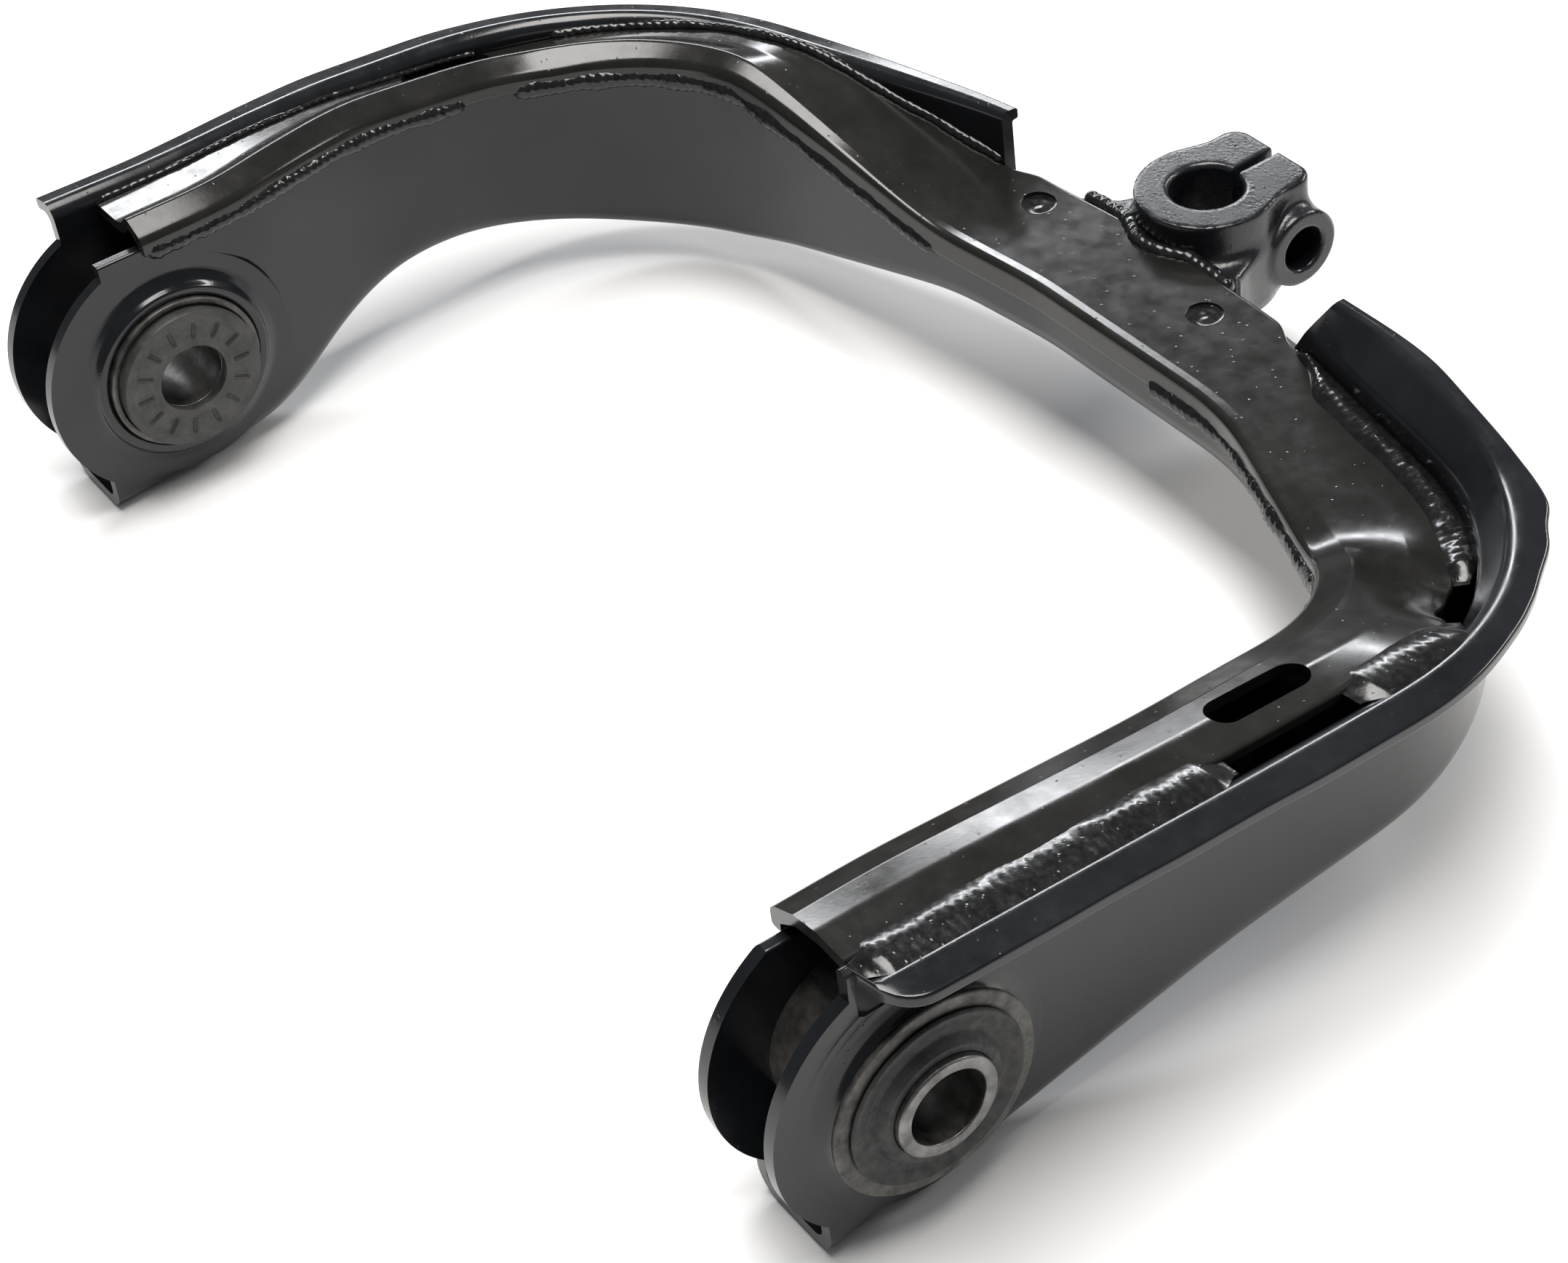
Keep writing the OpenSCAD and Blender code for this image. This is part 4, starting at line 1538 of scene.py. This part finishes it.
@dataclass
class BallJointClamp:
    """Forged clamp: split ring, pinch boss, neck and the tang held in the channel.

    Attributes:
        top: height of the flat top face.
        ring: outside radius of the ring.
        deep: height of the ring.
        stud: radius of the stud bore.
        pinch: radius of the pinch bolt hole.
        boss: radius of the pinch boss.
        boss_half: half the length of the pinch boss.
        blend: how softly the forged shapes run into each other.
    """

    top: float = 19.0
    ring: float = 17.1
    deep: float = 27.0
    stud: float = 8.6
    pinch: float = 5.5
    boss: float = 9.78
    boss_half: float = 18.3
    blend: float = 4.0

    @staticmethod
    def soft_union(a: Array, b: Array, k: float) -> Array:
        """Union of two distance fields, blended over k mm by a quadratic fillet."""
        h = np.maximum(k - np.abs(a - b), 0) / k
        return np.minimum(a, b) - h * h * k / 4

    @staticmethod
    def slab(radial: Array, axial: Array, rounding: float) -> Array:
        """Overlap of two distance fields with a rounded edge between them.

        Args:
            radial: distance to the sides.
            axial: distance to the two ends.
            rounding: radius of the edge, in mm.

        Returns:
            Array: the distance field.
        """
        a, b = radial + rounding, axial + rounding
        outside = np.sqrt(np.maximum(a, 0) ** 2 + np.maximum(b, 0) ** 2)
        return outside + np.minimum(np.maximum(a, b), 0) - rounding

    def field(self, x: Array, y: Array, z: Array) -> Array:
        """Distance to the forging's surface, negative inside.

        Args:
            x: sideways places from the centre plane.
            y: places beyond the stud axis.
            z: heights above the pivot axis.

        Returns:
            Array: the distance field.
        """
        bottom = self.top - self.deep
        middle, half = (self.top + bottom) / 2, self.deep / 2
        plan = np.hypot(x, y)
        ring = self.slab(plan - self.ring, np.abs(z - middle) - half, 0.7)
        pinch_y = self.stud + self.pinch - 0.2
        pinch_z = self.top - self.boss - 5.9
        across = np.hypot(y - pinch_y, z - pinch_z)
        boss = self.slab(across - self.boss, np.abs(x) - self.boss_half, 0.9)
        lug_plan = self.slab(np.abs(x) - self.ring + 3, np.abs(y - 10.6) - 10.9, 5.0)
        low = pinch_z - self.boss
        lug = self.slab(lug_plan, np.abs(z - (self.top + low) / 2) - (self.top - low) / 2, 1.0)
        half_width = np.interp(y, [-33.5, -15.5, -9, 5], [30, 30, 22, 15.5])
        neck_plan = self.slab(np.abs(x) - half_width, np.abs(y + 14.2) - 19.3, 1.5) * 0.85
        neck = self.slab(neck_plan, np.abs(z - 1.25) - 7.65, 1.6)
        body = self.soft_union(ring, neck, self.blend)
        body = self.soft_union(body, self.soft_union(lug, boss, 2.5), 2.0)
        body = np.maximum(body, z - self.top)
        bore = np.hypot(x, y) - self.stud - np.maximum(0, z - self.top + 0.9)
        body = np.maximum(body, -bore)
        hole = across - self.pinch - np.maximum(0, np.abs(x) - self.boss_half + 0.6)
        body = np.maximum(body, -hole)
        slit = np.maximum(np.abs(x) - 1.0, -y)
        return np.maximum(body, -slit)

    def build(self) -> bpy.types.Object:
        """Make the forging.

        Returns:
            bpy.types.Object: the piece.
        """
        step = 0.6
        low = np.array([-31.5, -35.5, -10.0])
        shape = (106, 101, 51)
        grid = np.meshgrid(*[low[k] + step * np.arange(shape[k]) for k in range(3)], indexing="ij")
        points, quads = surface_net(self.field(*grid), low, step)
        points = points + np.array([MID_X, REACH, 0.0])
        return make_piece("clamp_forging", points, quads, 40)


# ---------------------------------------------------------------- bushings


@dataclass
class Bushing:
    """One bushing: outer sleeve, rubber, inner sleeve and serrated washer.

    Profiles are given at the left leg as (radius, distance from the serrated face outwards).

    Attributes:
        side: which leg it is in.
        bore: radius of the bolt bore.
        inner: outside radius of the inner sleeve.
        outer: outside radius of the outer sleeve.
        length: overall length.
        washer: radius of the serrated washer.
        teeth: number of scored teeth.
    """

    side: Side
    bore: float = 8.5
    inner: float = 11.35
    outer: float = 19.5
    length: float = 40.0
    washer: float = 17.9
    teeth: int = 14

    @property
    def word(self) -> str:
        """The leg's name, as it stands in piece and node names."""
        return self.side.name.lower()

    @property
    def face_x(self) -> float:
        """X of the serrated face."""
        return 0.0 if self.side is Side.LEFT else SPAN

    def turned(self, name: str, corners: list, steps: int = 128, run: int = 2) -> bpy.types.Object:
        """A turned piece of this bushing.

        Args:
            name: its name without the leg's.
            corners: (radius, distance, corner radius) round its profile.
            steps: points round the axis.
            run: points along each straight side.

        Returns:
            bpy.types.Object: the piece.
        """
        points = turned_shell(rounded_profile(corners, 6, run), self.face_x,
                              float(self.side.value), steps)
        faces = grid_faces(steps, len(points) // steps, True)
        return make_piece(f"{self.word}_{name}", points, faces)

    def washer_piece(self) -> bpy.types.Object:
        """Serrated washer: a turned ring whose face is scored by short radial grooves.

        A groove's depth is 0.5 mm times a cosine hump across it and a smooth step at both its
        ends, with a low burr along both its sides.

        Returns:
            bpy.types.Object: the piece.
        """
        steps = self.teeth * 40
        radial = np.linspace(self.bore + 0.5, self.washer - 0.6, 40)
        face = np.stack([radial, np.zeros_like(radial)], axis=1)
        rim = np.array([(self.washer - 0.17, 0.17), (self.washer, 0.6), (self.washer, 2.3),
                        (self.washer - 0.3, 2.6), (self.bore + 0.3, 2.6), (self.bore, 2.3),
                        (self.bore, 0.5), (self.bore + 0.15, 0.15)])
        profile = np.concatenate([face, rim])
        way = float(self.side.value)
        points = turned_shell(profile, self.face_x, way, steps).reshape(steps, len(profile), 3)
        angle = np.linspace(0, 2 * math.pi, steps, endpoint=False)[:, None]
        phase = (angle * self.teeth / (2 * math.pi)) % 1.0 - 0.5
        aside = np.abs(phase) * 2 * math.pi / self.teeth * radial[None]
        cross = np.cos(np.clip(aside / 0.75, 0, 1) * math.pi / 2) ** 1.5
        burr = np.exp(-((aside - 1.0) / 0.3) ** 2) * 0.12
        along = step_up(radial, 10.6, 11.3) * (1 - step_up(radial, 14.6, 15.4))
        points[:, :len(radial), 0] += way * (0.5 * cross - burr) * along[None] + way * 0.13
        return make_piece(f"{self.word}_serrated_ring", points.reshape(-1, 3),
                          grid_faces(steps, len(profile), True), 40)

    def build(self, finishes: dict[str, bpy.types.Material]) -> None:
        """Make, dress and place the bushing's four pieces.

        Args:
            finishes: materials by slot name.
        """
        word = self.word
        inside = self.outer - 1.5
        sleeve = self.turned("bush_shell", [
            (inside, 3.5, 0.3), (self.outer, 3.5, 0.6), (self.outer, 34.5, 1.2), (23.0, 34.5, 0.6),
            (23.0, 35.9, 0.6), (inside + 0.2, 35.9, 1.5)])
        finish_piece(sleeve, finishes["outer_sleeve"], "arm", "outer_sleeve",
                     f"{word}_outer_sleeve")
        rubber = self.turned("bush_rubber", [
            (self.inner + 0.05, 3.1, 0.3), (inside - 1.5, 3.1, 1.0), (inside, 4.6, 0.5),
            (inside, 36.1, 0.2), (19.9, 36.2, 0.3), (19.4, 37.3, 0.6), (16.4, 36.4, 0.8),
            (14.9, 36.3, 0.8), (13.9, 37.6, 0.9), (13.1, 38.4, 0.5),
            (self.inner + 0.05, 38.4, 0.3)], 160)
        finish_piece(rubber, finishes["rubber"], "arm", "rubber", f"{word}_rubber")
        tube = self.turned("bush_tube", [
            (self.bore, 2.6, 0.2), (self.inner, 2.6, 0.2), (self.inner, self.length, 0.7),
            (self.bore, self.length, 0.5)], 128, 5)
        finish_piece(tube, finishes["inner_sleeve"], f"{word}_inner", "inner_sleeve",
                     f"{word}_inner_sleeve")
        finish_piece(self.washer_piece(), finishes["serrated_washer"], f"{word}_inner",
                     "serrated_washer", f"{word}_serrated_washer")


# ---------------------------------------------------------------- studio


@dataclass
class Studio:
    """Pale floor, soft light and the camera.

    Attributes:
        azimuth: the camera's direction round Z, 0 looking along +Y, in degrees.
        elevation: its height above the horizon, in degrees.
        roll: its turn about its own axis, in degrees.
        distance: from the target, in mm.
        target: the point it looks at, in mm.
        lens: focal length in mm on a 36 mm wide sensor.
        aim: the point the lights face, in metres.
        glow: strength of the even light from all sides.
    """

    azimuth: float = 60.14
    elevation: float = 41.40
    roll: float = -8.30
    distance: float = 731.11
    target: tuple[float, float, float] = (165.33, 54.97, -4.02)
    lens: float = 78.744
    aim: tuple[float, float, float] = (0.13, 0.1, 0.0)
    glow: float = 0.17

    def camera(self) -> None:
        """Place the camera by its own right, up and back directions."""
        az, el, roll = (math.radians(v) for v in (self.azimuth, self.elevation, self.roll))
        back = np.array([math.sin(az) * math.cos(el), -math.cos(az) * math.cos(el), math.sin(el)])
        flat = unit(np.cross(-back, [0.0, 0.0, 1.0]))
        rise = np.cross(flat, -back)
        right = math.cos(roll) * flat + math.sin(roll) * rise
        up = -math.sin(roll) * flat + math.cos(roll) * rise
        place = (np.array(self.target) + back * self.distance) * MM
        matrix = np.eye(4)
        matrix[:3, :3] = np.stack([right, up, back], axis=1)
        matrix[:3, 3] = place
        data = bpy.data.cameras.new("camera")
        data.lens = self.lens
        data.sensor_width = 36.0
        data.sensor_fit = "HORIZONTAL"
        data.clip_start = 0.01
        camera = bpy.data.objects.new("camera", data)
        camera.matrix_world = Matrix(matrix.tolist())
        bpy.context.scene.collection.objects.link(camera)
        bpy.context.scene.camera = camera

    def floor(self) -> None:
        """Lay a wide floor just under the arm's lowest point."""
        low = float(CAD_BOX[0][2]) / MM - 0.3
        cells, half = 8, 4000.0
        u = np.linspace(-half, half, cells + 1)
        x, y = np.meshgrid(u, u, indexing="ij")
        points = np.stack([x, y, np.full_like(x, low)], axis=-1).reshape(-1, 3)
        row, col = np.meshgrid(np.arange(cells), np.arange(cells), indexing="ij")
        first = (row * (cells + 1) + col).ravel()
        beyond = first + cells + 1
        faces = np.stack([first, beyond, beyond + 1, first + 1], axis=1)
        mesh = bpy.data.meshes.new("floor")
        mesh.from_pydata((points * MM).tolist(), [], faces.tolist())
        mesh.materials.append(StudioFloor().build())
        floor = bpy.data.objects.new("floor", mesh)
        bpy.context.scene.collection.objects.link(floor)

    def softbox(
        self, name: str, place: tuple[float, float, float], size: tuple[float, float],
        watts: float, tint: tuple[float, float, float]
    ) -> None:
        """Add one rectangular soft light that faces the aim point.

        Args:
            name: its name.
            place: its centre, in metres.
            size: its two sides, in metres.
            watts: its power.
            tint: its colour.
        """
        data = bpy.data.lights.new(name, "AREA")
        data.shape = "RECTANGLE"
        data.size, data.size_y = size
        data.energy = watts
        data.color = tint
        light = bpy.data.objects.new(name, data)
        back = unit(np.array(place) - np.array(self.aim))
        side = unit(np.cross([0.0, 1.0, 0.0] if abs(back[2]) > 0.9 else [0.0, 0.0, 1.0], back))
        matrix = np.eye(4)
        matrix[:3, :3] = np.stack([side, np.cross(back, side), back], axis=1)
        matrix[:3, 3] = place
        light.matrix_world = Matrix(matrix.tolist())
        bpy.context.scene.collection.objects.link(light)

    def build(self) -> None:
        """Make the floor, lights, world and camera."""
        self.camera()
        self.floor()
        world = bpy.data.worlds.new("studio_world")
        world.use_nodes = True
        shade = world.node_tree.nodes["Background"]
        shade.inputs["Color"].default_value = (0.93, 0.95, 1.0, 1.0)
        shade.inputs["Strength"].default_value = self.glow
        bpy.context.scene.world = world
        bpy.context.scene.view_settings.view_transform = "Standard"
        for light in (
            ("overhead", (0.1, 0.15, 1.6), (1.3, 0.75), 38, (1.0, 0.98, 0.95)),
            ("left_fill", (-1.3, 0.75, 0.8), (1.5, 0.16), 16, (0.95, 0.97, 1.0)),
            ("back_strip", (0.3, 1.6, 0.9), (1.3, 0.14), 14, (1.0, 0.97, 0.93)),
        ):
            self.softbox(*light)


def main() -> None:
    """Build the arm in order."""
    logging.basicConfig(level=logging.INFO, format="%(name)s: %(message)s")
    Studio().build()
    coat = BlackCoat("sheet_coat").build()
    finishes = {
        "channel": coat,
        "plate": BlackCoat("plate_coat", (0.008, 0.008, 0.0072), (0.016, 0.0155, 0.014)).build(),
        "forging": BlackCoat("forging_coat", peel=0.00006, ripple=0.00025, haze=0.4).build(),
        "weld": WeldCoat().build(),
        "outer_sleeve": BareSteel("sleeve_steel", (0.05, 0.048, 0.045), (0.14, 0.135, 0.125), 0.35,
                                  0.6, 0.7).build(),
        "rubber": BushRubber().build(),
        "inner_sleeve": BareSteel("tube_steel", (0.12, 0.118, 0.113), (0.25, 0.245, 0.24), 0.3,
                                  0.5).build(),
        "serrated_washer": BareSteel("washer_steel", (0.035, 0.035, 0.034), (0.07, 0.07, 0.067),
                                     0.4, 0.65, 0.4, 0.0).build(),
    }
    lines = YokeLines()
    finish_piece(LowerChannel(lines).build(), finishes["channel"], "arm", "channel",
                 "lower_channel")
    plate = TopPlate(lines)
    finish_piece(plate.build(), finishes["plate"], "arm", "plate", "upper_plate")
    finish_piece(BallJointClamp().build(), finishes["forging"], "arm", "forging",
                 "ball_joint_clamp")
    Welds(lines, plate).build(finishes["weld"])
    for side in Side:
        Bushing(side).build(finishes)


if __name__ == "__main__":
    main()
